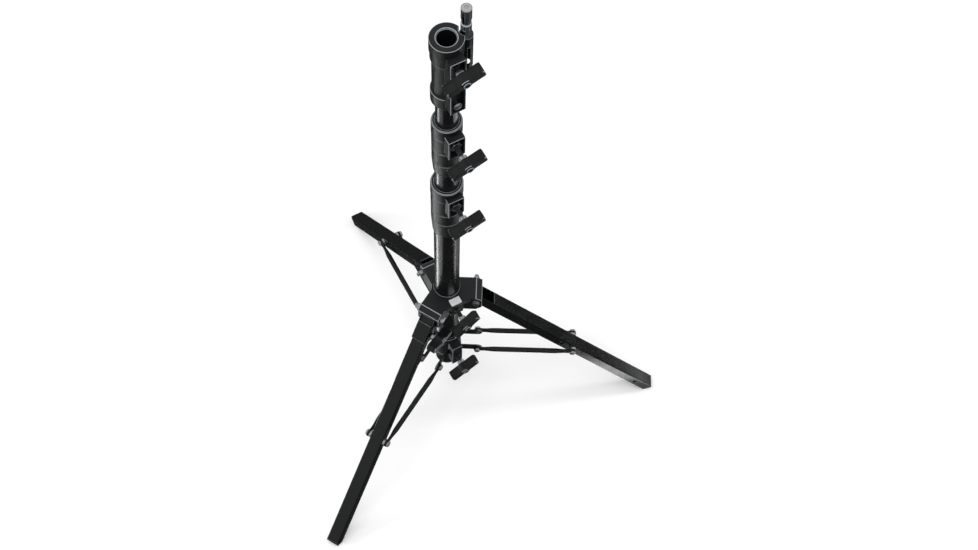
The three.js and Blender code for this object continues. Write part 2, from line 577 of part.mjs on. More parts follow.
// ---------------------------------------------------------------- origin
// The origin goes to the middle of the footprint, on the ground.
stand.updateMatrixWorld(true);
const extent = new THREE.Box3().setFromObject(stand, true);
const centre = extent.getCenter(new THREE.Vector3());
stand.position.set(-centre.x, -centre.y, -extent.min.z);

const lightingStand = new THREE.Group();
lightingStand.add(stand);
export default lightingStand;
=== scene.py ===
import json
import math

import bmesh
import bpy
from mathutils import Matrix, Quaternion, Vector


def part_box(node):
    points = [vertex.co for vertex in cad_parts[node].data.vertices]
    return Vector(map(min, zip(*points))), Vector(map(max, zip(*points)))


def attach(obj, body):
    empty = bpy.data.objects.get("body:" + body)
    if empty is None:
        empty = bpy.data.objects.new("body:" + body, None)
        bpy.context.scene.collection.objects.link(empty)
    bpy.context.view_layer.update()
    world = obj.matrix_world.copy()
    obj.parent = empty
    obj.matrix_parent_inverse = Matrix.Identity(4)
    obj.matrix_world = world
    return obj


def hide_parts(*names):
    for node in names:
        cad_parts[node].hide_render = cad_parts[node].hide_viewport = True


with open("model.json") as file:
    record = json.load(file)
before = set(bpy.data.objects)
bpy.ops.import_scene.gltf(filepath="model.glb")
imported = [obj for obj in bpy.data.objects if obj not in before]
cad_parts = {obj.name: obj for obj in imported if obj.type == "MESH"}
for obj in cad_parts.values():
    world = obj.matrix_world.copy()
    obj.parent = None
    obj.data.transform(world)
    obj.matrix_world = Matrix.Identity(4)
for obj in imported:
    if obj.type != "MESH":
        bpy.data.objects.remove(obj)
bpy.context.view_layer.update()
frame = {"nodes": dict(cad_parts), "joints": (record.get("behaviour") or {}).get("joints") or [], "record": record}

# ---------------------------------------------------------------- the stand's place, and the camera
# The stand is open, with its column upright and its knobs towards the viewer, who looks down on it from
# above the head. The pieces are made in millimetres about the column's foot, and then set in the row frame.
BASE_TUBE_TOP = 815
tube_low, tube_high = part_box("base_tube")
column_foot = (tube_low + tube_high) / 2
column_foot.z = tube_high.z - BASE_TUBE_TOP / 1000
TO_ROW = Matrix.Translation(column_foot) @ Matrix.Scale(0.001, 4)

lens = bpy.data.cameras.new("camera")
lens.lens = 57.41
lens.sensor_width = 36
camera = bpy.data.objects.new("camera", lens)
camera.location = column_foot + Vector((-0.5711, -1.0917, 3.0177))
aim = column_foot + Vector((0.0379, -0.0839, 0.6))
CAMERA_ROLL = 0.0538
upright = (aim - camera.location).to_track_quat("-Z", "Y")
camera.rotation_euler = (upright @ Quaternion((0, 0, 1), CAMERA_ROLL)).to_euler()
bpy.context.scene.collection.objects.link(camera)
bpy.context.scene.camera = camera


# ---------------------------------------------------------------- floor and studio light
# A pale seamless floor, a broad softbox overhead and a strip of light on each side. Glossy surfaces see a
# dark ground with a few glowing cards round the column in place of the floor and lamps. The cards draw the
# long bright lines down the tubes.
def linear(code):
    """The linear colour of an sRGB hex code."""
    parts = [int(code[i:i + 2], 16) / 255 for i in (0, 2, 4)]
    return [p / 12.92 if p <= 0.04045 else ((p + 0.055) / 1.055) ** 2.4 for p in parts] + [1.0]


def add(tree, kind, settings=None, inputs=None, links=None):
    """Adds one node with its properties, its sockets' values and its sockets' sources."""
    node = tree.nodes.new(kind)
    for name, value in (settings or {}).items():
        setattr(node, name, value)
    for name, value in (inputs or {}).items():
        node.inputs[name].default_value = value
    for name, source in (links or {}).items():
        tree.links.new(source, node.inputs[name])
    return node


def material(name, **shader):
    """A new material, its node tree, its shader with the given constants, and Object coordinates."""
    new = bpy.data.materials.new(name)
    new.use_nodes = True
    tree = new.node_tree
    surface = tree.nodes["Principled BSDF"]
    for socket, value in shader.items():
        surface.inputs[socket.replace("_", " ")].default_value = value
    coordinates = add(tree, "ShaderNodeTexCoord").outputs["Object"]
    return new, tree, surface, coordinates


scene = bpy.context.scene
scene.view_settings.view_transform = "Standard"

FLOOR_HALF = 8
floor_bm = bmesh.new()
bmesh.ops.create_grid(floor_bm, x_segments=1, y_segments=1, size=FLOOR_HALF)
floor_mesh = bpy.data.meshes.new("floor")
floor_bm.to_mesh(floor_mesh)
floor_bm.free()
floor_paint, tree, surface, coordinates = material("pale_floor", Base_Color=linear("f6f6f6"), Roughness=0.9)
floor_mesh.materials.append(floor_paint)
floor = bpy.data.objects.new("floor", floor_mesh)
scene.collection.objects.link(floor)
floor.visible_glossy = False


CARD_NEAR, CARD_FAR, CARD_STEPS = 0.14, 0.74, 24


def card(name, z, strength, azimuth, half_width, near=CARD_NEAR, far=CARD_FAR):
    """A glowing ring sector just under the floor, so that only reflections show it."""
    glow, tree, surface, coordinates = material(name, Emission_Strength=strength, Roughness=1.0)
    surface.inputs["Base Color"].default_value = linear("000000")
    surface.inputs["Emission Color"].default_value = linear("ffffff")
    glow.cycles.emission_sampling = "NONE"
    spread = [math.radians(azimuth + half_width * (2 * i / CARD_STEPS - 1)) for i in range(CARD_STEPS + 1)]
    corners = [(r * math.cos(a), r * math.sin(a), z) for r in (near, far) for a in spread]
    outer = len(spread)
    faces = [(i, i + 1, outer + i + 1, outer + i) for i in range(CARD_STEPS)]
    mesh = bpy.data.meshes.new(name)
    mesh.from_pydata(corners, [], faces)
    mesh.materials.append(glow)
    made = bpy.data.objects.new(name, mesh)
    made.location = (column_foot.x, column_foot.y, 0)
    scene.collection.objects.link(made)


card("dark_ground", -0.02, 0.04, 0, 180, near=0, far=FLOOR_HALF)
card("left_card", -0.012, 7, 150, 6)
card("left_card_fading", -0.014, 0.9, 178, 24)
card("right_card", -0.012, 3, -40, 4)
card("right_card_fading", -0.014, 0.4, -14, 22)
card("stud_card", -0.01, 1.6, -15, 28, near=0.58)

scene.world = bpy.data.worlds.new("studio")
scene.world.use_nodes = True
surroundings = scene.world.node_tree.nodes["Background"]
surroundings.inputs["Color"].default_value = linear("ffffff")
surroundings.inputs["Strength"].default_value = 0.55

for name, place, target, size, power in (
    ("overhead_softbox", (-0.6, -0.4, 3.9), (0, 0, 0), (2.6, 2.6), 86),
    ("left_strip", (-2.1, 0.5, 0.9), (0, 0, 0.6), (0.35, 1.9), 26),
    ("right_strip", (1.9, -0.6, 0.8), (0, 0, 0.6), (0.25, 1.9), 18),
):
    light = bpy.data.lights.new(name, "AREA")
    light.shape = "RECTANGLE"
    light.size, light.size_y = size
    light.energy = power
    lamp = bpy.data.objects.new(name, light)
    lamp.location = column_foot + Vector(place)
    lamp.visible_glossy = False
    lamp.rotation_euler = (Vector(target) - Vector(place)).to_track_quat("-Z", "Y").to_euler()
    scene.collection.objects.link(lamp)


# ---------------------------------------------------------------- base tube and its end plug
# The column's outside tube: 45 mm welded steel tube, cut square and powder coated in satin black. A ribbed
# nylon plug is pressed into its lower end.
def lathe(profile, segments=96):
    """A solid turned about Z. Its profile starts and ends on the axis, or closes on itself."""
    bm = bmesh.new()
    turn = [2 * math.pi * i / segments for i in range(segments)]
    rings = []
    for radius, z in profile:
        around = turn if radius else turn[:1]
        rings.append([bm.verts.new((radius * math.cos(a), radius * math.sin(a), z)) for a in around])
    following = rings[1:] + (rings[:1] if profile[0][0] else [])
    for lower, upper in zip(rings, following):
        for i in range(segments):
            j = (i + 1) % segments
            corners = [lower[i % len(lower)], lower[j % len(lower)],
                       upper[j % len(upper)], upper[i % len(upper)]]
            corners = list(dict.fromkeys(corners))
            if len(corners) > 2:
                bm.faces.new(corners)
    bmesh.ops.recalc_face_normals(bm, faces=bm.faces)
    return bm


def edged(bm, width, segments=2, sharper_than=30):
    """Rounds the sharp edges, and marks the outside ones in a face attribute, where a finish is thinnest and where
    the materials paint a highlight on the edge.
    """
    # This mask carries both edge wear and a painted edge highlight: the materials mix light grey into it.
    wear_and_highlight = bm.faces.layers.float.new("wear_and_highlight_edge")
    sharp = [e for e in bm.edges if e.is_manifold and e.calc_face_angle(0) > math.radians(sharper_than)]
    rounded = bmesh.ops.bevel(bm, geom=sharp, offset=width, offset_type="OFFSET", segments=segments,
                              profile=0.5, affect="EDGES", clamp_overlap=False)["faces"]
    for face in rounded:
        bent = [e for e in face.edges if e.calc_face_angle(0) > 0.1]
        face[wear_and_highlight] = float(all(e.is_convex for e in bent))
    return bm


rides_on = {node: body for body, nodes in frame["record"]["behaviour"]["bodies"].items() for node in nodes}


def piece(name, bm, place, nodes, finish):
    """One finished piece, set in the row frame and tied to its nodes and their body."""
    mesh = bpy.data.meshes.new(name)
    bm.to_mesh(mesh)
    bm.free()
    mesh.transform(TO_ROW @ place)
    mesh.materials.append(finish)
    mesh.shade_smooth()
    mesh.set_sharp_from_angle(angle=math.radians(40))
    made = bpy.data.objects.new(name, mesh)
    scene.collection.objects.link(made)
    evened = made.modifiers.new("weighted_normals", "WEIGHTED_NORMAL")
    evened.keep_sharp = True
    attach(made, rides_on[nodes[0]])
    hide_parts(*nodes)
    return made


# Satin black powder coat on steel tube: nearly black, with a fine orange peel that breaks up the long reflections,
# faint rub marks along the tube, and a greyer line on every outside edge, partly where the coat is thin and partly
# a painted highlight.
powder_coat, tree, surface, coordinates = material("satin_powder_coat_on_steel", IOR=1.5)
surface.inputs["Specular IOR Level"].default_value = 0.42
along = add(tree, "ShaderNodeMapping", inputs={"Scale": (1, 1, 0.04)}, links={"Vector": coordinates})
rubbed = add(tree, "ShaderNodeTexNoise", inputs={"Scale": 260, "Detail": 3},
             links={"Vector": along.outputs["Vector"]})
cloudy = add(tree, "ShaderNodeTexNoise", inputs={"Scale": 30, "Detail": 4}, links={"Vector": coordinates})
mottled = add(tree, "ShaderNodeMath", {"operation": "MULTIPLY"},
              links={0: rubbed.outputs["Fac"], 1: cloudy.outputs["Fac"]})
coat_roughness = add(tree, "ShaderNodeMapRange",
                     inputs={"From Min": 0.15, "From Max": 0.4, "To Min": 0.2, "To Max": 0.33},
                     links={"Value": mottled.outputs["Value"]})
tree.links.new(coat_roughness.outputs["Result"], surface.inputs["Roughness"])
coat_colour = add(tree, "ShaderNodeMix", {"data_type": "RGBA"},
                  {6: linear("060708"), 7: linear("111315")}, {0: mottled.outputs["Value"]})
# The light grey on the outside edges is partly wear of a thin coat and partly a painted highlight.
edge_mask = add(tree, "ShaderNodeAttribute", {"attribute_name": "wear_and_highlight_edge"})
edge_amount = add(tree, "ShaderNodeMath", {"operation": "MULTIPLY"}, {1: 0.9},
                  {0: edge_mask.outputs["Fac"]})
edge_colour = add(tree, "ShaderNodeMix", {"data_type": "RGBA"}, {7: linear("7d8387")},
                  {0: edge_amount.outputs["Value"], 6: coat_colour.outputs[2]})
tree.links.new(edge_colour.outputs[2], surface.inputs["Base Color"])
# Orange peel is about 1 mm across. It is drawn 2 mm across so that it shows.
peel = add(tree, "ShaderNodeTexNoise", inputs={"Scale": 500, "Detail": 2}, links={"Vector": coordinates})
peel_bump = add(tree, "ShaderNodeBump", inputs={"Strength": 0.06, "Distance": 0.0004},
                links={"Height": peel.outputs["Fac"]})
tree.links.new(peel_bump.outputs["Normal"], surface.inputs["Normal"])

# Glass-filled nylon, injection moulded: a soft black with a spark-eroded grain, dull where it is handled.
nylon, tree, surface, coordinates = material("moulded_glass_filled_nylon", IOR=1.53)
surface.inputs["Specular IOR Level"].default_value = 0.4
handled = add(tree, "ShaderNodeTexNoise", inputs={"Scale": 90, "Detail": 4}, links={"Vector": coordinates})
nylon_roughness = add(tree, "ShaderNodeMapRange", inputs={"To Min": 0.34, "To Max": 0.52},
                      links={"Value": handled.outputs["Fac"]})
tree.links.new(nylon_roughness.outputs["Result"], surface.inputs["Roughness"])
nylon_colour = add(tree, "ShaderNodeMix", {"data_type": "RGBA"},
                   {6: linear("070708"), 7: linear("141517")}, {0: handled.outputs["Fac"]})
# The light grey on the outside edges is partly wear and partly a painted highlight.
edge_mask = add(tree, "ShaderNodeAttribute", {"attribute_name": "wear_and_highlight_edge"})
edge_colour = add(tree, "ShaderNodeMix", {"data_type": "RGBA"}, {7: linear("8d9396")},
                  {0: edge_mask.outputs["Fac"], 6: nylon_colour.outputs[2]})
tree.links.new(edge_colour.outputs[2], surface.inputs["Base Color"])
grain = add(tree, "ShaderNodeTexNoise", inputs={"Scale": 900, "Detail": 3}, links={"Vector": coordinates})
grain_bump = add(tree, "ShaderNodeBump", inputs={"Strength": 0.2, "Distance": 0.0003},
                 links={"Height": grain.outputs["Fac"]})
tree.links.new(grain_bump.outputs["Normal"], surface.inputs["Normal"])

HERE = Matrix.Identity(4)
BASE_R, BASE_BORE, BASE_BOTTOM = 22.5, 20.5, 130
base_tube = lathe([(BASE_BORE, BASE_BOTTOM), (BASE_R, BASE_BOTTOM), (BASE_R, BASE_TUBE_TOP),
                   (BASE_BORE, BASE_TUBE_TOP)])
piece("base_tube_steel", edged(base_tube, 0.5), HERE, ["base_tube"], powder_coat)

plug_under, plug_in = BASE_BOTTOM - 3, BASE_BOTTOM + 16
plug_profile = [(0, plug_under), (BASE_R, plug_under), (BASE_R, BASE_BOTTOM - 0.35),
                (BASE_BORE - 0.4, BASE_BOTTOM - 0.35)]
for rib in range(3):
    low = BASE_BOTTOM + 1 + 5 * rib
    plug_profile += [(BASE_BORE - 1.4, low), (BASE_BORE - 0.4, low + 2), (BASE_BORE - 0.4, low + 3)]
plug_profile += [(BASE_BORE - 3, plug_in), (BASE_BORE - 3, BASE_BOTTOM + 1), (0, BASE_BOTTOM + 1)]
piece("base_tube_ribbed_plug", edged(lathe(plug_profile), 0.5), HERE, ["base_tube_end_plug"],
      nylon)

# ---------------------------------------------------------------- risers and their guide bushes
# Two steel tubes, 40 and 35 mm, that telescope in the base tube. Each stands on a moulded ring that guides
# it, and its coat is rubbed along its length where it passes the clamp.
for section, r, bore, bottom, top, outside_bore in (
    ("lower", 20, 18, 170, 1003, BASE_BORE),
    ("upper", 17.5, 15.5, 215, 1124, 18),
):
    riser = lathe([(bore, bottom), (r, bottom), (r, top), (bore, top)])
    piece(section + "_riser_steel", edged(riser, 0.5), HERE, [section + "_riser"],
          powder_coat)
    shoulder = bottom - 0.35
    bush = lathe([(bore - 4, shoulder - 11), (outside_bore - 0.35, shoulder - 11),
                  (outside_bore - 0.35, shoulder), (bore - 0.35, shoulder), (bore - 0.35, bottom + 20),
                  (bore - 4, bottom + 20)])
    piece(section + "_riser_moulded_bush", edged(bush, 0.5), HERE, [section + "_riser_guide_bush"],
          nylon)


# ---------------------------------------------------------------- riser clamps
# A cast collar is fixed round the top of the base tube and of the lower riser. Its box boss traps a
# hexagon nut for the clamp screw, and a moulded ring caps the collar and wipes the riser.
def extruded(outline, low, high, axis=2):
    """A solid whose flat outline runs along one axis from low to high."""
    bm = bmesh.new()
    ends = []
    for level in (low, high):
        ends.append([bm.verts.new((*point[:axis], level, *point[axis:])) for point in outline])
        bm.faces.new(ends[-1])
    for i in range(len(outline)):
        bm.faces.new((ends[0][i - 1], ends[0][i], ends[1][i], ends[1][i - 1]))
    bmesh.ops.recalc_face_normals(bm, faces=bm.faces)
    return bm


def block(x0, x1, y0, y1, z0, z1):
    return extruded([(x0, y0), (x1, y0), (x1, y1), (x0, y1)], z0, z1)


def pin(r, low, high, segments=48):
    return lathe([(0, low), (r, low), (r, high), (0, high)], segments)


def moved(bm, matrix):
    bm.transform(matrix)
    return bm


TO_FRONT = Matrix.Rotation(math.radians(90), 4, "X")
TO_LEFT_SIDE = Matrix.Rotation(math.radians(-90), 4, "X")


def scratch(bm):
    mesh = bpy.data.meshes.new("scratch")
    bm.to_mesh(mesh)
    bm.free()
    holder = bpy.data.objects.new("scratch", mesh)
    scene.collection.objects.link(holder)
    return holder


def carved(base, *steps):
    """The base with solids added, kept to or cut away, in order, and its flat faces made whole."""
    holders = [scratch(base)]
    for operation, solid in steps:
        holders.append(scratch(solid))
        modifier = holders[0].modifiers.new(operation, "BOOLEAN")
        modifier.operation = operation
        modifier.solver = "EXACT"
        modifier.object = holders[-1]
    graph = bpy.context.evaluated_depsgraph_get()
    mesh = bpy.data.meshes.new_from_object(holders[0].evaluated_get(graph))
    for holder in holders:
        bpy.data.objects.remove(holder)
    bm = bmesh.new()
    bm.from_mesh(mesh)
    bmesh.ops.remove_doubles(bm, verts=bm.verts, dist=0.01)
    bmesh.ops.dissolve_limit(bm, angle_limit=math.radians(0.5), verts=bm.verts, edges=bm.edges)
    return bm


# Black powder coat over a sand casting: the same black, mottled and rough from the mould beneath, and
# greyer on every corner, partly from wear and partly as a painted highlight.
cast_coat, tree, surface, coordinates = material("powder_coat_on_sand_casting", IOR=1.5)
surface.inputs["Specular IOR Level"].default_value = 0.45
blotched = add(tree, "ShaderNodeTexNoise", inputs={"Scale": 160, "Detail": 5, "Roughness": 0.65},
               links={"Vector": coordinates})
cast_roughness = add(tree, "ShaderNodeMapRange", inputs={"To Min": 0.33, "To Max": 0.58},
                     links={"Value": blotched.outputs["Fac"]})
tree.links.new(cast_roughness.outputs["Result"], surface.inputs["Roughness"])
cast_colour = add(tree, "ShaderNodeMix", {"data_type": "RGBA"},
                  {6: linear("070808"), 7: linear("17191b")}, {0: blotched.outputs["Fac"]})
# The light grey on the corners is partly wear and partly a painted highlight.
edge_mask = add(tree, "ShaderNodeAttribute", {"attribute_name": "wear_and_highlight_edge"})
edge_colour = add(tree, "ShaderNodeMix", {"data_type": "RGBA"}, {7: linear("8b9195")},
                  {0: edge_mask.outputs["Fac"], 6: cast_colour.outputs[2]})
tree.links.new(edge_colour.outputs[2], surface.inputs["Base Color"])
# Moulding sand leaves grains of about 0.5 mm. They are drawn 1.5 mm across so that they show.
sand = add(tree, "ShaderNodeTexNoise", inputs={"Scale": 650, "Detail": 4, "Roughness": 0.6},
           links={"Vector": coordinates})
sand_bump = add(tree, "ShaderNodeBump", inputs={"Strength": 0.35, "Distance": 0.0005},
                links={"Height": sand.outputs["Fac"]})
tree.links.new(sand_bump.outputs["Normal"], surface.inputs["Normal"])

# Bright zinc plate on steel: pale and silvery, with a slight blue cast and a cloudy, softly brushed gloss.
zinc_plate, tree, surface, coordinates = material("bright_zinc_plate", Metallic=1.0)
clouded = add(tree, "ShaderNodeTexNoise", inputs={"Scale": 300, "Detail": 4}, links={"Vector": coordinates})
zinc_roughness = add(tree, "ShaderNodeMapRange", inputs={"To Min": 0.2, "To Max": 0.42},
                     links={"Value": clouded.outputs["Fac"]})
tree.links.new(zinc_roughness.outputs["Result"], surface.inputs["Roughness"])
zinc_colour = add(tree, "ShaderNodeMix", {"data_type": "RGBA"},
                  {6: linear("a9aeb2"), 7: linear("d7dadc")}, {0: clouded.outputs["Fac"]})
tree.links.new(zinc_colour.outputs[2], surface.inputs["Base Color"])

# Black oxide on steel, oiled: a blued near-black metal whose corners are painted light grey as sharp glints,
# partly also wear.
black_oxide, tree, surface, coordinates = material("oiled_black_oxide_steel", Metallic=0.6)
oiled = add(tree, "ShaderNodeTexNoise", inputs={"Scale": 240, "Detail": 4}, links={"Vector": coordinates})
oxide_roughness = add(tree, "ShaderNodeMapRange", inputs={"To Min": 0.24, "To Max": 0.45},
                      links={"Value": oiled.outputs["Fac"]})
tree.links.new(oxide_roughness.outputs["Result"], surface.inputs["Roughness"])
oxide_colour = add(tree, "ShaderNodeMix", {"data_type": "RGBA"},
                   {6: linear("1c1d1f"), 7: linear("45474a")}, {0: oiled.outputs["Fac"]})
# The light grey on the corners is a painted glint, partly also wear.
edge_mask = add(tree, "ShaderNodeAttribute", {"attribute_name": "wear_and_highlight_edge"})
edge_colour = add(tree, "ShaderNodeMix", {"data_type": "RGBA"}, {7: linear("a3a7aa")},
                  {0: edge_mask.outputs["Fac"], 6: oxide_colour.outputs[2]})
tree.links.new(edge_colour.outputs[2], surface.inputs["Base Color"])


def hexagon(across_flats, low, high, chamfer):
    """A hexagon along Z whose corners are turned off at both ends, as on a nut or a bolt's head."""
    corner = across_flats / math.sqrt(3)
    outline = [(corner * math.cos(math.radians(60 * i)), corner * math.sin(math.radians(60 * i)))
               for i in range(6)]
    turned_off = lathe([(0, low), (corner - chamfer, low), (corner + 0.1, low + chamfer),
                        (corner + 0.1, high - chamfer), (corner - chamfer, high), (0, high)], 48)
    return carved(extruded(outline, low, high), ("INTERSECT", turned_off))


SCREW_HOLE = 4.6
CLAMP_BOSS_HALF, CLAMP_BOSS_FRONT, CLAMP_BOSS_WALL = 14.25, 34, 3
NUT_ACROSS, NUT_THICK = 17, 7
GROOVE_WIDTH, GROOVE_DEPTH = 2, 1.2

for clamp in (
    dict(name="lower_clamp", tube_r=22.5, riser_r=20, r=26.75, cap_r=27.2, taper_r=24.6,
         cap_top=829, cap_bottom=801, groove=754, taper_top=718, bottom=678, tube_top=815),
    dict(name="upper_clamp", tube_r=20, riser_r=17.5, r=24, cap_r=24.4, taper_r=22.1,
         cap_top=1017, cap_bottom=989, groove=949, taper_top=908, bottom=879, tube_top=1003),
):
    name, r = clamp["name"], clamp["r"]
    bore = clamp["tube_r"] + 0.35
    screw_z = clamp["cap_top"] - 35.5
    boss_top, boss_bottom = screw_z + 23, screw_z - 24
    boss_floor = bore + 4
    top = clamp["cap_bottom"] - 0.35
    outline = [(bore, clamp["bottom"]), (clamp["taper_r"], clamp["bottom"]), (r, clamp["taper_top"])]
    for z in (clamp["taper_top"] + 4, clamp["groove"]):
        outline += [(r, z), (r - GROOVE_DEPTH, z + 0.4), (r - GROOVE_DEPTH, z + GROOVE_WIDTH - 0.4),
                    (r, z + GROOVE_WIDTH)]
    outline += [(r, top), (bore, top)]
    pocket = CLAMP_BOSS_HALF - CLAMP_BOSS_WALL
    collar = carved(
        lathe(outline),
        ("UNION", block(-CLAMP_BOSS_HALF, CLAMP_BOSS_HALF, -CLAMP_BOSS_FRONT, -10, boss_bottom, boss_top)),
        ("DIFFERENCE", pin(bore, boss_bottom - 5, boss_top + 5, 96)),
        ("DIFFERENCE", block(-pocket, pocket, -CLAMP_BOSS_FRONT - 1, -boss_floor,
                             boss_bottom + CLAMP_BOSS_WALL, boss_top - CLAMP_BOSS_WALL)),
        ("DIFFERENCE", moved(pin(SCREW_HOLE, 10, 34), Matrix.Translation((0, 0, screw_z)) @ TO_FRONT)),
    )
    piece(name + "_cast_collar", edged(collar, 0.7), HERE, [name + "_collar"], cast_coat)

    seat, cap_r, cap_top = clamp["tube_top"] + 0.35, clamp["cap_r"], clamp["cap_top"]
    wiper_r = clamp["riser_r"] + 0.4
    cap = carved(
        lathe([(bore, clamp["cap_bottom"]), (cap_r, clamp["cap_bottom"]), (cap_r, cap_top - 3),
               (cap_r - 0.6, cap_top - 1.2), (cap_r - 2, cap_top), (wiper_r + 1, cap_top),
               (wiper_r, cap_top - 1), (wiper_r, seat), (bore, seat)]),
        ("DIFFERENCE", block(-CLAMP_BOSS_HALF - 0.4, CLAMP_BOSS_HALF + 0.4, -cap_r - 2, -10,
                             clamp["cap_bottom"] - 1, boss_top + 0.4)),
    )
    piece(name + "_moulded_cap", edged(cap, 0.5), HERE, [name + "_cap_ring"], nylon)

    nut_near = boss_floor + 0.35
    nut = carved(hexagon(NUT_ACROSS, nut_near, nut_near + NUT_THICK, 1),
                 ("DIFFERENCE", pin(SCREW_HOLE, 0, 60)))
    piece(name + "_hexagon_nut", edged(nut, 0.25), Matrix.Translation((0, 0, screw_z)) @ TO_FRONT,
          [name + "_nut"], black_oxide)


# ---------------------------------------------------------------- receiver, retaining bolt and stud
# The head is one casting on the upper riser: a 28.6 mm socket with a stepped rim, and a channel boss in
# front that shields the clamp screw. A round-headed bolt holds it to the riser.
def arc(x, y, r, start, end, steps):
    angles = [math.radians(start + (end - start) * i / steps) for i in range(steps + 1)]
    return [(x + r * math.cos(a), y + r * math.sin(a)) for a in angles]


RECEIVER_BOTTOM, RECEIVER_TOP = 1081, 1231
SOCKET_R, SOCKET_FLOOR, SOCKET_SCREW_Z = 14.3, 1141, 1194
BOSS_HALF, BOSS_FRONT, BOSS_FLOOR, BOSS_WALL = 12.5, 36, 27.5, 3
BOSS_BOTTOM, BOSS_TOP = 1088, 1215
STUD_X, STUD_TUBE_R, STUD_TUBE_BORE, STUD_TUBE_BOTTOM, STUD_TUBE_TOP = 30.5, 10.5, 8.5, 1146, 1220
BOLT_Z, BOLT_R, BOLT_HEAD_R, BOLT_HEAD_FRONT = 1101, 3.2, 7.5, 37.2
TO_STUD = Matrix.Translation((STUD_X, 0, 0))

receiver_body = lathe([
    (0, RECEIVER_BOTTOM), (24.5, RECEIVER_BOTTOM), (24.5, 1107), (22, 1110), (22, 1184), (24.3, 1187),
    (24.3, 1206), (25.5, 1206), (25.5, RECEIVER_TOP), (0, RECEIVER_TOP),
])
boss_pocket = BOSS_HALF - BOSS_WALL
receiver = carved(
    receiver_body,
    ("UNION", block(-BOSS_HALF, BOSS_HALF, -BOSS_FRONT, -12, BOSS_BOTTOM, BOSS_TOP)),
    ("DIFFERENCE", pin(SOCKET_R, SOCKET_FLOOR, RECEIVER_TOP + 1, 96)),
    ("DIFFERENCE", lathe([(0, RECEIVER_TOP - 1.6), (SOCKET_R, RECEIVER_TOP - 1.6),
                          (SOCKET_R + 2.1, RECEIVER_TOP + 0.5), (0, RECEIVER_TOP + 0.5)])),
    ("DIFFERENCE", pin(17.85, RECEIVER_BOTTOM - 1, 1124.35, 96)),
    ("DIFFERENCE", moved(pin(STUD_TUBE_R + 0.35, STUD_TUBE_BOTTOM - 4, RECEIVER_TOP + 1, 64), TO_STUD)),
    ("DIFFERENCE", block(-boss_pocket, boss_pocket, -BOSS_FRONT - 1, -BOSS_FLOOR,
                         BOSS_BOTTOM + BOSS_WALL, BOSS_TOP - BOSS_WALL)),
    ("DIFFERENCE", moved(pin(SCREW_HOLE, 8, 30), Matrix.Translation((0, 0, SOCKET_SCREW_Z)) @ TO_FRONT)),
    ("DIFFERENCE", moved(pin(BOLT_R + 0.4, 14, 30), Matrix.Translation((0, 0, BOLT_Z)) @ TO_FRONT)),
)
piece("receiver_casting", edged(receiver, 0.7), HERE, ["socket_receiver"], cast_coat)

dome = arc(0, BOLT_HEAD_FRONT - 12.6, 12.6, 53.5, 90, 8)
bolt_back = BOSS_FLOOR + 0.35
round_head = lathe([(0, 17.85), (BOLT_R, 17.85), (BOLT_R, bolt_back), (BOLT_HEAD_R, bolt_back),
                    *dome[:-1], (0, BOLT_HEAD_FRONT)], 48)
driver_slot = carved(round_head, ("DIFFERENCE", block(-8, 8, -0.8, 0.8, BOLT_HEAD_FRONT - 1.8, 40)))
piece("receiver_round_headed_bolt", edged(driver_slot, 0.2), Matrix.Translation((0, 0, BOLT_Z)) @ TO_FRONT,
      ["receiver_retaining_bolt"], zinc_plate)

# The 16 mm stud is turned steel, chromed, with a locking neck near its top. It slides in a short steel tube
# welded beside the socket, and a small screw in the tube's slot stops it.
chrome_plate, tree, surface, coordinates = material("chromed_turned_steel", Metallic=1.0)
lathe_marks = add(tree, "ShaderNodeTexWave", {"bands_direction": "Z"},
                  {"Scale": 700, "Distortion": 1.5, "Detail": 2}, {"Vector": coordinates})
chrome_roughness = add(tree, "ShaderNodeMapRange", inputs={"To Min": 0.1, "To Max": 0.2},
                       links={"Value": lathe_marks.outputs["Fac"]})
tree.links.new(chrome_roughness.outputs["Result"], surface.inputs["Roughness"])
chrome_colour = add(tree, "ShaderNodeMix", {"data_type": "RGBA"},
                    {6: linear("c6c9cc"), 7: linear("e2e4e6")}, {0: lathe_marks.outputs["Fac"]})
tree.links.new(chrome_colour.outputs[2], surface.inputs["Base Color"])

STUD_SCREW_Z, SLOT_HALF, SLOT_BOTTOM = 1200.5, 2.6, 1157.5
slot_top = STUD_SCREW_Z + 2.55
slot_outline = (arc(0, SLOT_BOTTOM + SLOT_HALF, SLOT_HALF, 180, 360, 10)
                + arc(0, slot_top - SLOT_HALF, SLOT_HALF, 0, 180, 10))
stud_tube = carved(
    lathe([(STUD_TUBE_BORE, STUD_TUBE_BOTTOM), (STUD_TUBE_R, STUD_TUBE_BOTTOM),
           (STUD_TUBE_R, STUD_TUBE_TOP), (STUD_TUBE_BORE, STUD_TUBE_TOP)], 64),
    ("DIFFERENCE", extruded(slot_outline, -STUD_TUBE_R - 1, -STUD_TUBE_BORE / 2, axis=1)),
)
piece("stud_tube_steel", edged(stud_tube, 0.4), TO_STUD, ["stud_tube"], powder_coat)

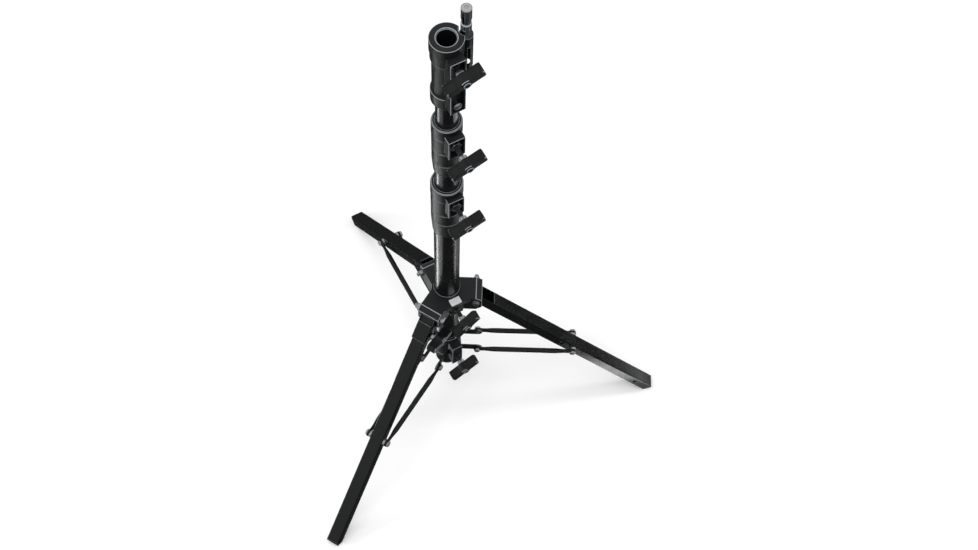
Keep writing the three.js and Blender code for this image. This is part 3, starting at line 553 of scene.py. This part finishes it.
STUD_TOP, STUD_BOTTOM, NECK_BOTTOM, NECK_TOP = 1282, 1192, 1246, 1258
stud = carved(
    lathe([(0, STUD_BOTTOM), (7, STUD_BOTTOM), (8, STUD_BOTTOM + 1), (8, NECK_BOTTOM),
           (6.4, NECK_BOTTOM + 1.5), (6.4, NECK_TOP - 1.5), (8, NECK_TOP), (8, STUD_TOP - 1.5),
           (6.5, STUD_TOP), (3.2, STUD_TOP), (3.2, STUD_TOP - 1), (0, STUD_TOP - 2.5)], 64),
    ("DIFFERENCE", moved(pin(2.5, 4, 10, 24), Matrix.Translation((0, 0, STUD_SCREW_Z)) @ TO_FRONT)),
)
piece("stud_chromed", edged(stud, 0.3), TO_STUD, ["stud"], chrome_plate)
guide_screw = carved(pin(2.2, 4.35, 11.2, 32), ("DIFFERENCE", block(-3, 3, -0.35, 0.35, 10.3, 12)))
piece("stud_slotted_guide_screw", edged(guide_screw, 0.25),
      TO_STUD @ Matrix.Translation((0, 0, STUD_SCREW_Z)) @ TO_FRONT, ["stud_guide_screw"],
      zinc_plate)

# ---------------------------------------------------------------- leg hub and its label
# The hub is a casting welded and bolted to the base tube: a barrel with a raised neck, three forked arms for
# the legs, and a wide lug in front for the clamp screw. A blank vinyl label is stuck to its top.
HUB_TOP, BARREL_R, BARREL_BOTTOM, NECK_TOP_Z = 433, 29, 384, 441
ARM_HALF, ARM_PLATE, PLATE_END, NOSE_END, NOSE_DROP, CHEEK_BOTTOM = 22, 4, 54, 65, 7, 388
HINGE_R, HINGE_Z, HINGE_BOLT_R = 54, 418, 4
HUB_KNOB_Z, LUG_HALF, LUG_FRONT, LUG_THICK, HUB_BOSS_HALF = 411, 27, 41, 12, 12.5
LEGS = (
    dict(name="back", azimuth=90, nut_side=1, fork_half=13.75, start=0),
    dict(name="right", azimuth=-30, nut_side=1, fork_half=13.75, start=0),
    dict(name="leveling", azimuth=-150, nut_side=-1, fork_half=15.7, start=6),
)


def towards(azimuth):
    return Matrix.Rotation(math.radians(azimuth), 4, "Z")


arm_side = [(0, HUB_TOP), (0, CHEEK_BOTTOM), (PLATE_END, CHEEK_BOTTOM), (NOSE_END, CHEEK_BOTTOM + 10),
            (NOSE_END, HUB_TOP - NOSE_DROP), (PLATE_END, HUB_TOP)]
roof = HUB_TOP - ARM_PLATE
fork_side = [(BARREL_R, CHEEK_BOTTOM - 10), (NOSE_END + 5, CHEEK_BOTTOM - 10),
             (NOSE_END + 5, roof - NOSE_DROP), (NOSE_END, roof - NOSE_DROP), (PLATE_END, roof),
             (BARREL_R, roof)]
hinge_hole = Matrix.Translation((HINGE_R, 0, HINGE_Z)) @ TO_LEFT_SIDE
hub_steps = [
    ("UNION", block(-LUG_HALF, LUG_HALF, -LUG_FRONT, 0, HUB_TOP - LUG_THICK, HUB_TOP)),
    ("UNION", block(-HUB_BOSS_HALF, HUB_BOSS_HALF, -LUG_FRONT, 0, 396, HUB_TOP - 1)),
]
for leg in LEGS:
    arm = extruded(arm_side, -ARM_HALF, ARM_HALF, axis=1)
    hub_steps.append(("UNION", moved(arm, towards(leg["azimuth"]))))
hub_steps.append(("DIFFERENCE", pin(BASE_R + 0.35, BARREL_BOTTOM - 1, NECK_TOP_Z + 1, 96)))
for leg in LEGS:
    fork = extruded(fork_side, -leg["fork_half"], leg["fork_half"], axis=1)
    hub_steps.append(("DIFFERENCE", moved(fork, towards(leg["azimuth"]))))
    hub_steps.append(("DIFFERENCE", moved(pin(HINGE_BOLT_R + 0.4, -30, 30, 32),
                                          towards(leg["azimuth"]) @ hinge_hole)))
hub_steps.append(("DIFFERENCE", moved(pin(SCREW_HOLE, 15, LUG_FRONT + 2),
                                      Matrix.Translation((0, 0, HUB_KNOB_Z)) @ TO_FRONT)))
hub = carved(
    lathe([(0, BARREL_BOTTOM), (BARREL_R, BARREL_BOTTOM), (BARREL_R, HUB_TOP), (25.4, HUB_TOP),
           (24.2, NECK_TOP_Z), (0, NECK_TOP_Z)]),
    *hub_steps,
)
piece("hub_casting", edged(hub, 0.8), HERE, ["leg_hub"], cast_coat)

# Matt white vinyl: an even off-white, a little soiled, with a faint sheen.
vinyl, tree, surface, coordinates = material("matt_white_vinyl_label", IOR=1.45)
soiled = add(tree, "ShaderNodeTexNoise", inputs={"Scale": 220, "Detail": 4}, links={"Vector": coordinates})
vinyl_colour = add(tree, "ShaderNodeMix", {"data_type": "RGBA"},
                   {6: linear("a4a8a9"), 7: linear("cdd0cf")}, {0: soiled.outputs["Fac"]})
tree.links.new(vinyl_colour.outputs[2], surface.inputs["Base Color"])
vinyl_roughness = add(tree, "ShaderNodeMapRange", inputs={"To Min": 0.45, "To Max": 0.65},
                      links={"Value": soiled.outputs["Fac"]})
tree.links.new(vinyl_roughness.outputs["Result"], surface.inputs["Roughness"])

LABEL_HALF, LABEL_NEAR, LABEL_FAR, LABEL_CORNER = 10.5, -40, -26, 1.5
label_outline = (arc(LABEL_HALF - LABEL_CORNER, LABEL_FAR - LABEL_CORNER, LABEL_CORNER, 0, 90, 4)
                 + arc(LABEL_CORNER - LABEL_HALF, LABEL_FAR - LABEL_CORNER, LABEL_CORNER, 90, 180, 4)
                 + arc(LABEL_CORNER - LABEL_HALF, LABEL_NEAR + LABEL_CORNER, LABEL_CORNER, 180, 270, 4)
                 + arc(LABEL_HALF - LABEL_CORNER, LABEL_NEAR + LABEL_CORNER, LABEL_CORNER, 270, 360, 4))
label = extruded(label_outline, HUB_TOP + 0.05, HUB_TOP + 1.0)
piece("hub_blank_label", edged(label, 0.15), HERE, ["rating_plate"], vinyl)

# ---------------------------------------------------------------- legs, leveling sleeve and foot plugs
# Each leg is rectangular steel tube, 26 by 24.5 mm with rounded corners. Its top and bottom walls are cut
# back at the hinge, and a rubber plug closes its foot. The leveling leg slides in a folded steel sleeve.
LEG_HALF, LEG_ABOVE, LEG_BELOW, LEG_WALL, LEG_CORNER = 13, 8.5, 16, 2, 3
TOP_WALL_FROM, BOTTOM_WALL_FROM, FOOT_HOLE_R, FOOT_HOLE_FROM_END = 42, 12, 4.5, 45
PLUG_LIP, PLUG_CORNER, PLUG_DEPTH = 6, 5, 20
BRACE_R_ON_LEG, BRACE_Z_ON_LEG = 247, 202
leg_tilt = math.atan2(HINGE_Z - BRACE_Z_ON_LEG, BRACE_R_ON_LEG - HINGE_R)
sine, cosine = math.sin(leg_tilt), math.cos(leg_tilt)
leg_end = (HINGE_Z - LEG_BELOW * cosine + PLUG_CORNER * (sine + cosine - 1)) / sine
tube_end = leg_end - PLUG_LIP
leg_middle = (LEG_ABOVE - LEG_BELOW) / 2


def hinge_frame(azimuth):
    """A leg's own frame: +X down the leg from its hinge, +Y across it, +Z out of its top face."""
    return towards(azimuth) @ Matrix.Translation((HINGE_R, 0, HINGE_Z)) @ Matrix.Rotation(leg_tilt, 4, "Y")


def section(half, below, above, corner, steps=6):
    """A rounded rectangle across Y and Z."""
    return (arc(half - corner, above - corner, corner, 0, 90, steps)
            + arc(corner - half, above - corner, corner, 90, 180, steps)
            + arc(corner - half, corner - below, corner, 180, 270, steps)
            + arc(half - corner, corner - below, corner, 270, 360, steps))


def channel(half, below, above, wall, corner, start, end, top_from, bottom_from):
    """Rectangular tube along X whose top and bottom walls begin further down, with its hinge end rounded."""
    tube = extruded(section(half, below, above, corner), start - 3 * above, end, axis=0)
    hollow = extruded(section(half - wall, below - wall, above - wall, corner - wall + 0.4),
                      start - 4 * above, end + 1, axis=0)
    steps = [("DIFFERENCE", hollow)]
    if start == 0:
        round_end = arc(0, 0, LEG_ABOVE, 90, 225, 16)
        side = [(end + 1, above + 1), (0, above + 1), *round_end, (below * 0.75, -below - 1),
                (end + 1, -below - 1)]
        inner = half - wall
        steps += [
            ("INTERSECT", extruded(side, -half - 1, half + 1, axis=1)),
            ("DIFFERENCE", block(-4 * above, top_from, -inner, inner, 0, above + 5)),
            ("DIFFERENCE", block(-4 * above, bottom_from, -inner, inner, -below - 5, 0)),
        ]
    else:
        before_start = block(start - 4 * above, start, -half - 1, half + 1, -below - 1, above + 1)
        steps.append(("DIFFERENCE", before_start))
    return carved(tube, *steps)


def across(r, x, z, length=80):
    return moved(pin(r, -length / 2, length / 2, 32), Matrix.Translation((x, 0, z)) @ TO_LEFT_SIDE)


# Moulded rubber: matt and nearly black, scuffed grey where it meets the floor.
rubber, tree, surface, coordinates = material("moulded_black_rubber", IOR=1.52)
scuffed = add(tree, "ShaderNodeTexNoise", inputs={"Scale": 350, "Detail": 5}, links={"Vector": coordinates})
rubber_colour = add(tree, "ShaderNodeMix", {"data_type": "RGBA"},
                    {6: linear("0a0a0a"), 7: linear("232425")}, {0: scuffed.outputs["Fac"]})
tree.links.new(rubber_colour.outputs[2], surface.inputs["Base Color"])
rubber_roughness = add(tree, "ShaderNodeMapRange", inputs={"To Min": 0.6, "To Max": 0.85},
                       links={"Value": scuffed.outputs["Fac"]})
tree.links.new(rubber_roughness.outputs["Result"], surface.inputs["Roughness"])
rubber_bump = add(tree, "ShaderNodeBump", inputs={"Strength": 0.25, "Distance": 0.0003},
                  links={"Height": scuffed.outputs["Fac"]})
tree.links.new(rubber_bump.outputs["Normal"], surface.inputs["Normal"])

lip_side = [(tube_end + 0.35, LEG_ABOVE), (tube_end + 0.35, -LEG_BELOW),
            *arc(leg_end - PLUG_CORNER, PLUG_CORNER - LEG_BELOW, PLUG_CORNER, 270, 360, 8),
            *arc(leg_end - PLUG_CORNER, LEG_ABOVE - PLUG_CORNER, PLUG_CORNER, 0, 90, 8)]
plug_half = LEG_HALF - LEG_WALL - 0.35
foot_plug = carved(
    extruded(section(LEG_HALF, LEG_BELOW, LEG_ABOVE, LEG_CORNER), tube_end + 0.35, leg_end + 1, axis=0),
    ("INTERSECT", extruded(lip_side, -LEG_HALF - 1, LEG_HALF + 1, axis=1)),
    ("UNION", extruded(section(plug_half, LEG_BELOW - LEG_WALL - 0.35, LEG_ABOVE - LEG_WALL - 0.35, 1.2),
                       tube_end - PLUG_DEPTH, tube_end + 3, axis=0)),
)
edged(foot_plug, 0.6)

for leg in LEGS:
    name = leg["name"]
    place = hinge_frame(leg["azimuth"])
    tube = channel(LEG_HALF, LEG_BELOW, LEG_ABOVE, LEG_WALL, LEG_CORNER, leg["start"], tube_end,
                   TOP_WALL_FROM, BOTTOM_WALL_FROM)
    holes = [("DIFFERENCE", across(FOOT_HOLE_R, leg_end - FOOT_HOLE_FROM_END, leg_middle))]
    if leg["start"] == 0:
        holes.append(("DIFFERENCE", across(HINGE_BOLT_R + 0.4, 0, 0)))
    tube = carved(tube, *holes)
    piece(name + "_leg_steel_tube", edged(tube, 0.35), place, [name + "_leg_tube"],
          powder_coat)
    piece(name + "_leg_rubber_plug", foot_plug.copy(), place, [name + "_leg_foot_plug"],
          rubber)

SLEEVE_WALL, SLEEVE_END, SLEEVE_TOP_FROM, SLEEVE_KNOB_AT = 1.8, 58, 20, 42
grow = SLEEVE_WALL + 0.35
sleeve = channel(LEG_HALF + grow, LEG_BELOW + grow, LEG_ABOVE + grow, SLEEVE_WALL, LEG_CORNER + 1, 0,
                 SLEEVE_END, SLEEVE_TOP_FROM, BOTTOM_WALL_FROM)
sleeve = carved(
    sleeve,
    ("DIFFERENCE", across(HINGE_BOLT_R + 0.4, 0, 0)),
    ("DIFFERENCE", moved(pin(SCREW_HOLE, 5, 30), Matrix.Translation((SLEEVE_KNOB_AT, 0, leg_middle))
                         @ TO_LEFT_SIDE)),
)
piece("leveling_folded_sleeve", edged(sleeve, 0.5), hinge_frame(-150),
      ["leveling_sleeve"], powder_coat)


# ---------------------------------------------------------------- clamp screws and T-knobs
# Six alike: an M8 black-oxide screw with a bright zinc collar, moulded into a nylon T-knob. The bar's broad
# faces have a shallow rimmed pocket on each side of the hub, and its front has a round boss.
def grown(tree, **values):
    """The plain mesh that a Geometry Nodes tree grows from its named inputs."""
    holder = scratch(bmesh.new())
    modifier = holder.modifiers.new("grow", "NODES")
    modifier.node_group = tree
    for item in tree.interface.items_tree:
        if item.in_out == "INPUT" and item.name in values:
            modifier[item.identifier] = values[item.name]
    graph = bpy.context.evaluated_depsgraph_get()
    mesh = bpy.data.meshes.new_from_object(holder.evaluated_get(graph))
    bpy.data.objects.remove(holder)
    return mesh


thread_tree = bpy.data.node_groups.new("screw_thread", "GeometryNodeTree")
for name, kind in (("radius", "NodeSocketFloat"), ("ridge", "NodeSocketFloat"), ("pitch", "NodeSocketFloat"),
                   ("length", "NodeSocketFloat"), ("finish", "NodeSocketMaterial")):
    thread_tree.interface.new_socket(name, in_out="INPUT", socket_type=kind)
thread_tree.interface.new_socket("thread", in_out="OUTPUT", socket_type="NodeSocketGeometry")
given = add(thread_tree, "NodeGroupInput").outputs
turns = add(thread_tree, "ShaderNodeMath", {"operation": "DIVIDE"},
            links={0: given["length"], 1: given["pitch"]})
helix = add(thread_tree, "GeometryNodeCurveSpiral", inputs={"Resolution": 20},
            links={"Rotations": turns.outputs["Value"], "Start Radius": given["radius"],
                   "End Radius": given["radius"], "Height": given["length"]})
crest = add(thread_tree, "GeometryNodeCurvePrimitiveCircle", {"mode": "RADIUS"}, {"Resolution": 4},
            {"Radius": given["ridge"]})
swept = add(thread_tree, "GeometryNodeCurveToMesh", inputs={"Fill Caps": True},
            links={"Curve": helix.outputs["Curve"], "Profile Curve": crest.outputs["Curve"]})
whole = add(thread_tree, "GeometryNodeRealizeInstances", links={"Geometry": swept.outputs["Mesh"]})
plated = add(thread_tree, "GeometryNodeSetMaterial",
             links={"Geometry": whole.outputs["Geometry"], "Material": given["finish"]})
add(thread_tree, "NodeGroupOutput", links={"thread": plated.outputs["Geometry"]})

KNOB_LENGTH, KNOB_DEPTH, KNOB_THICK, KNOB_HUB_R, KNOB_FACE_R, KNOB_FACE_UP = 62, 18, 13, 9.5, 6, 2
SCREW_R, SCREW_COLLAR_R, SCREW_COLLAR_LONG, SCREW_IN_KNOB, THREAD_PITCH = 4, 7, 6, 10, 1.25
BLACKENED_R = SCREW_R + 0.6
half, thin = KNOB_LENGTH / 2, KNOB_THICK / 2
swell = math.degrees(math.asin(thin / KNOB_HUB_R))
bar_outline = [
    *arc(half - 2.5, thin - 2.5, 2.5, 0, 90, 4), *arc(0, 0, KNOB_HUB_R, swell, 180 - swell, 12),
    *arc(2.5 - half, thin - 2.5, 2.5, 90, 180, 4), *arc(2.5 - half, 2.5 - thin, 2.5, 180, 270, 4),
    *arc(0, 0, KNOB_HUB_R, 180 + swell, 360 - swell, 12), *arc(half - 2.5, 2.5 - thin, 2.5, 270, 360, 4),
]
knob_steps = [
    ("UNION", pin(KNOB_FACE_R, KNOB_DEPTH - 1, KNOB_DEPTH + KNOB_FACE_UP, 48)),
    ("DIFFERENCE", pin(KNOB_FACE_R - 2, KNOB_DEPTH + KNOB_FACE_UP - 0.8, KNOB_DEPTH + 5, 48)),
    ("DIFFERENCE", pin(SCREW_R + 0.35, -1, SCREW_IN_KNOB + 0.35, 32)),
]
POCKET_NEAR, POCKET_FAR, POCKET_DEEP = 11.5, 28.5, 1.6
for end in (-1, 1):
    near, far = sorted((POCKET_NEAR * end, POCKET_FAR * end))
    knob_steps.append(("DIFFERENCE", block(near, far, thin - POCKET_DEEP, thin + 1, 2.6, KNOB_DEPTH - 2.6)))
    knob_steps.append(("DIFFERENCE", block(near, far, -thin - 1, POCKET_DEEP - thin, 2.6, KNOB_DEPTH - 2.6)))
knob = edged(carved(extruded(bar_outline, 0, KNOB_DEPTH), *knob_steps), 0.8, sharper_than=40)

joints = {joint["name"]: joint for joint in frame["joints"]}


def reach(node, start, direction):
    """How far along a direction a node of the frame begins and ends, in millimetres."""
    spans = [(vertex.co - start).dot(direction) * 1000 for vertex in frame["nodes"][node].data.vertices]
    return min(spans), max(spans)


for joint_name, stem, tilt in (
    ("lower_clamp_turn", "lower_clamp", 20),
    ("upper_clamp_turn", "upper_clamp", 20),
    ("socket_clamp_turn", "socket_clamp", 19.5),
    ("hub_clamp_turn", "hub_clamp", 44),
    ("collar_clamp_turn", "brace_collar_clamp", 32),
    ("leveling_clamp_turn", "leveling_clamp", -70),
):
    outwards = Vector(joints[joint_name]["axis"])
    point = TO_ROW.inverted() @ Vector(joints[joint_name]["pos_m"])
    front = reach(stem + "_knob", Vector(joints[joint_name]["pos_m"]), outwards)[1] - KNOB_FACE_UP
    tip = reach(stem + "_screw", Vector(joints[joint_name]["pos_m"]), outwards)[0]
    back = front - KNOB_DEPTH
    if stem == "leveling_clamp":
        turned_out = hinge_frame(-150).to_3x3().to_4x4() @ TO_LEFT_SIDE
    else:
        turned_out = TO_FRONT
    place = Matrix.Translation(point) @ turned_out @ Matrix.Rotation(math.radians(tilt), 4, "Z")
    piece(stem + "_moulded_knob", knob.copy(), place @ Matrix.Translation((0, 0, back)),
          [stem + "_knob"], nylon)

    collar_end = back - 0.35
    collar_start = collar_end - SCREW_COLLAR_LONG
    root = SCREW_R - 0.75
    screw = edged(lathe([(0, tip), (root - 0.6, tip), (root, tip + 1), (root, collar_start),
                         (SCREW_COLLAR_R, collar_start), (SCREW_COLLAR_R, collar_end), (SCREW_R, collar_end),
                         (SCREW_R, back + SCREW_IN_KNOB), (0, back + SCREW_IN_KNOB)], 48), 0.5)
    thread = grown(thread_tree, radius=root, ridge=0.7, pitch=THREAD_PITCH, length=collar_start - tip - 2,
                   finish=black_oxide)
    thread.transform(Matrix.Translation((0, 0, tip + 1.5)))
    screw.from_mesh(thread)
    bmesh.ops.recalc_face_normals(screw, faces=screw.faces)
    for face in screw.faces:
        face.material_index = int(face.calc_center_median().xy.length < BLACKENED_R)
    made = piece(stem + "_threaded_screw", screw, place, [stem + "_screw"], zinc_plate)
    made.data.materials.append(black_oxide)

# ---------------------------------------------------------------- leg hinge bolts
# An M8 hexagon bolt pivots each leg in its fork, with a washer face under its head, a locking nut and two
# turns of thread past it.
CHEEK = ARM_HALF + 0.35
HEAD_ACROSS, HEAD_HIGH, HINGE_NUT_HIGH, BOLT_END = 11.7, 5, 7, 5
nut_end = CHEEK + HINGE_NUT_HIGH
hinge_bolt = lathe([(0, -CHEEK), (HINGE_BOLT_R, -CHEEK), (HINGE_BOLT_R, CHEEK), (HINGE_BOLT_R - 0.6, CHEEK),
                    (HINGE_BOLT_R - 0.6, nut_end + BOLT_END - 0.6), (HINGE_BOLT_R - 1.2, nut_end + BOLT_END),
                    (0, nut_end + BOLT_END)], 48)
hinge_bolt = carved(
    hinge_bolt,
    ("UNION", hexagon(HEAD_ACROSS, -CHEEK - HEAD_HIGH, -CHEEK - 0.5, 0.8)),
    ("UNION", pin(6.8, -CHEEK - 0.6, -CHEEK, 48)),
    ("UNION", hexagon(HEAD_ACROSS, CHEEK + 0.5, nut_end - 2, 0.8)),
    ("UNION", pin(6.8, CHEEK, CHEEK + 0.6, 48)),
    ("UNION", pin(5.2, nut_end - 2.2, nut_end, 48)),
)
edged(hinge_bolt, 0.25)
bolt_thread = grown(thread_tree, radius=HINGE_BOLT_R - 0.6, ridge=0.55, pitch=THREAD_PITCH,
                    length=BOLT_END - 1, finish=zinc_plate)
bolt_thread.transform(Matrix.Translation((0, 0, nut_end)))
hinge_bolt.from_mesh(bolt_thread)
bmesh.ops.recalc_face_normals(hinge_bolt, faces=hinge_bolt.faces)
for leg in LEGS:
    name = leg["name"]
    laid = Matrix.Rotation(math.radians(-90 * leg["nut_side"]), 4, "X")
    piece(name + "_leg_hexagon_bolt", hinge_bolt.copy(), hinge_frame(leg["azimuth"]) @ laid,
          [name + "_leg_hinge_bolt"], zinc_plate)

# ---------------------------------------------------------------- brace collar
# A casting that slides on the base tube and carries the inner ends of the braces on three pairs of ears. Its
# front boss takes the clamp screw.
COLLAR_R, COLLAR_BOTTOM, COLLAR_TOP = 28, 165, 250
COLLAR_BOSS_HALF, COLLAR_BOSS_FRONT, COLLAR_SCREW_Z = 10.5, 44, 200
EAR_R, EAR_Z, EAR_HALF_HIGH, EAR_INNER, EAR_OUTER, BRACE_HOLE = 60, 199, 9, 14.6, 17.5, 3.6
ear_outline = [(20, EAR_Z - EAR_HALF_HIGH), *arc(EAR_R, EAR_Z, EAR_HALF_HIGH, -90, 90, 16),
               (20, EAR_Z + EAR_HALF_HIGH)]
collar_steps = [("UNION", block(-COLLAR_BOSS_HALF, COLLAR_BOSS_HALF, -COLLAR_BOSS_FRONT, 0, 172, 240))]
for leg in LEGS:
    for low, high in ((EAR_INNER, EAR_OUTER), (-EAR_OUTER, -EAR_INNER)):
        ear = moved(extruded(ear_outline, low, high, axis=1), towards(leg["azimuth"]))
        collar_steps.append(("UNION", ear))
collar_steps.append(("DIFFERENCE", pin(BASE_R + 0.35, COLLAR_BOTTOM - 1, COLLAR_TOP + 1, 96)))
for leg in LEGS:
    collar_steps.append(("DIFFERENCE", moved(across(BRACE_HOLE, EAR_R, EAR_Z), towards(leg["azimuth"]))))
collar_steps.append(("DIFFERENCE", moved(pin(SCREW_HOLE, 15, COLLAR_BOSS_FRONT + 1),
                                         Matrix.Translation((0, 0, COLLAR_SCREW_Z)) @ TO_FRONT)))
brace_collar = carved(
    lathe([(0, COLLAR_BOTTOM), (COLLAR_R, COLLAR_BOTTOM), (COLLAR_R, 180), (COLLAR_R - 1, 181),
           (COLLAR_R - 1, 233), (COLLAR_R, 234), (COLLAR_R, COLLAR_TOP), (0, COLLAR_TOP)]),
    *collar_steps,
)
piece("brace_collar_casting", edged(brace_collar, 0.7), HERE, ["brace_collar"], cast_coat)


# ---------------------------------------------------------------- braces and their bolts
# Six braces of 10 mm steel tube, pressed flat at both ends and drilled. A round-headed bolt holds each one
# to an ear of the collar, and another, over a washer, to its leg.
BRACE_ROD_R, BRACE_PLATE_HALF, BRACE_INNER, EYE_R, FLAT_END, ROUND_FROM = 5, 2, 17.9, 7, 12, 36
FLAT_CORNER = 1.6
brace_length = math.hypot(BRACE_R_ON_LEG - EAR_R, BRACE_Z_ON_LEG - EAR_Z)
brace_rise = math.atan2(BRACE_Z_ON_LEG - EAR_Z, BRACE_R_ON_LEG - EAR_R)


def brace_stations():
    """Where the pressed tube changes: place along it, half width, half thickness, and roundness of corner."""
    eye = [(-EYE_R * math.cos(math.radians(a)), EYE_R * math.sin(math.radians(a)),
            BRACE_PLATE_HALF, FLAT_CORNER) for a in (8, 20, 34, 48, 62, 76, 90)]
    neck = []
    for i in range(7):
        share = i / 6
        eased = share * share * (3 - 2 * share)
        thick = BRACE_PLATE_HALF + (BRACE_ROD_R - BRACE_PLATE_HALF) * eased
        wide = EYE_R * 0.86 + (BRACE_ROD_R - EYE_R * 0.86) * eased
        corner = FLAT_CORNER + (BRACE_ROD_R - FLAT_CORNER) * eased
        neck.append((FLAT_END + (ROUND_FROM - FLAT_END) * share, wide, thick, corner))
    first = eye + neck
    return first + [(brace_length - x, wide, thick, corner) for x, wide, thick, corner in reversed(first)]


brace_bm = bmesh.new()
rings = []
for x, wide, thick, corner in brace_stations():
    corner = min(corner, wide - 0.01, thick - 0.01)
    ring = [brace_bm.verts.new((x, BRACE_INNER + BRACE_PLATE_HALF + y, z))
            for y, z in section(thick, wide, wide, corner, 5)]
    rings.append(ring)
for before, after in zip(rings, rings[1:]):
    for i in range(len(before)):
        brace_bm.faces.new((before[i - 1], before[i], after[i], after[i - 1]))
brace_bm.faces.new(rings[0])
brace_bm.faces.new(rings[-1])
bmesh.ops.recalc_face_normals(brace_bm, faces=brace_bm.faces)
brace = carved(brace_bm, ("DIFFERENCE", across(BRACE_HOLE, 0, 0)),
               ("DIFFERENCE", across(BRACE_HOLE, brace_length, 0)))

BRACE_BOLT_R, BRACE_HEAD_R, BRACE_HEAD_HIGH, WASHER_R = 3.2, 6, 3.8, 7
brace_outside = BRACE_INNER + 2 * BRACE_PLATE_HALF + 0.35
head_top = brace_outside + BRACE_HEAD_HIGH
cheese_head = [(BRACE_BOLT_R, brace_outside), (BRACE_HEAD_R, brace_outside), (BRACE_HEAD_R, head_top - 1.8),
               (BRACE_HEAD_R - 0.7, head_top - 0.6), (BRACE_HEAD_R - 2, head_top), (0, head_top)]
driver = hexagon(5, head_top - 2, head_top + 2, 0.1)
ear_bolt = edged(carved(lathe([(0, EAR_INNER), (BRACE_BOLT_R, EAR_INNER), *cheese_head], 48),
                        ("DIFFERENCE", driver.copy())), 0.25)
washer_out = BRACE_INNER - 0.35
leg_bolt = edged(carved(lathe([(0, 13.35), (WASHER_R, 13.35), (WASHER_R, washer_out),
                               (BRACE_BOLT_R, washer_out), *cheese_head], 48),
                        ("DIFFERENCE", driver)), 0.25)

for leg in LEGS:
    name = leg["name"]
    ear_frame = (towards(leg["azimuth"]) @ Matrix.Translation((EAR_R, 0, EAR_Z))
                 @ Matrix.Rotation(-brace_rise, 4, "Y"))
    for side, turned_over in (("left", 0), ("right", 180)):
        place = ear_frame @ Matrix.Rotation(math.radians(turned_over), 4, "X")
        stem = name + "_" + side + "_brace"
        piece(stem + "_pressed_tube", brace.copy(), place, [stem], powder_coat)
        piece(stem + "_ear_cheese_head_bolt", ear_bolt.copy(), place @ TO_LEFT_SIDE,
              [stem + "_ear_bolt"], zinc_plate)
        piece(stem + "_leg_cheese_head_bolt", leg_bolt.copy(),
              place @ Matrix.Translation((brace_length, 0, 0)) @ TO_LEFT_SIDE,
              [stem + "_leg_bolt"], zinc_plate)
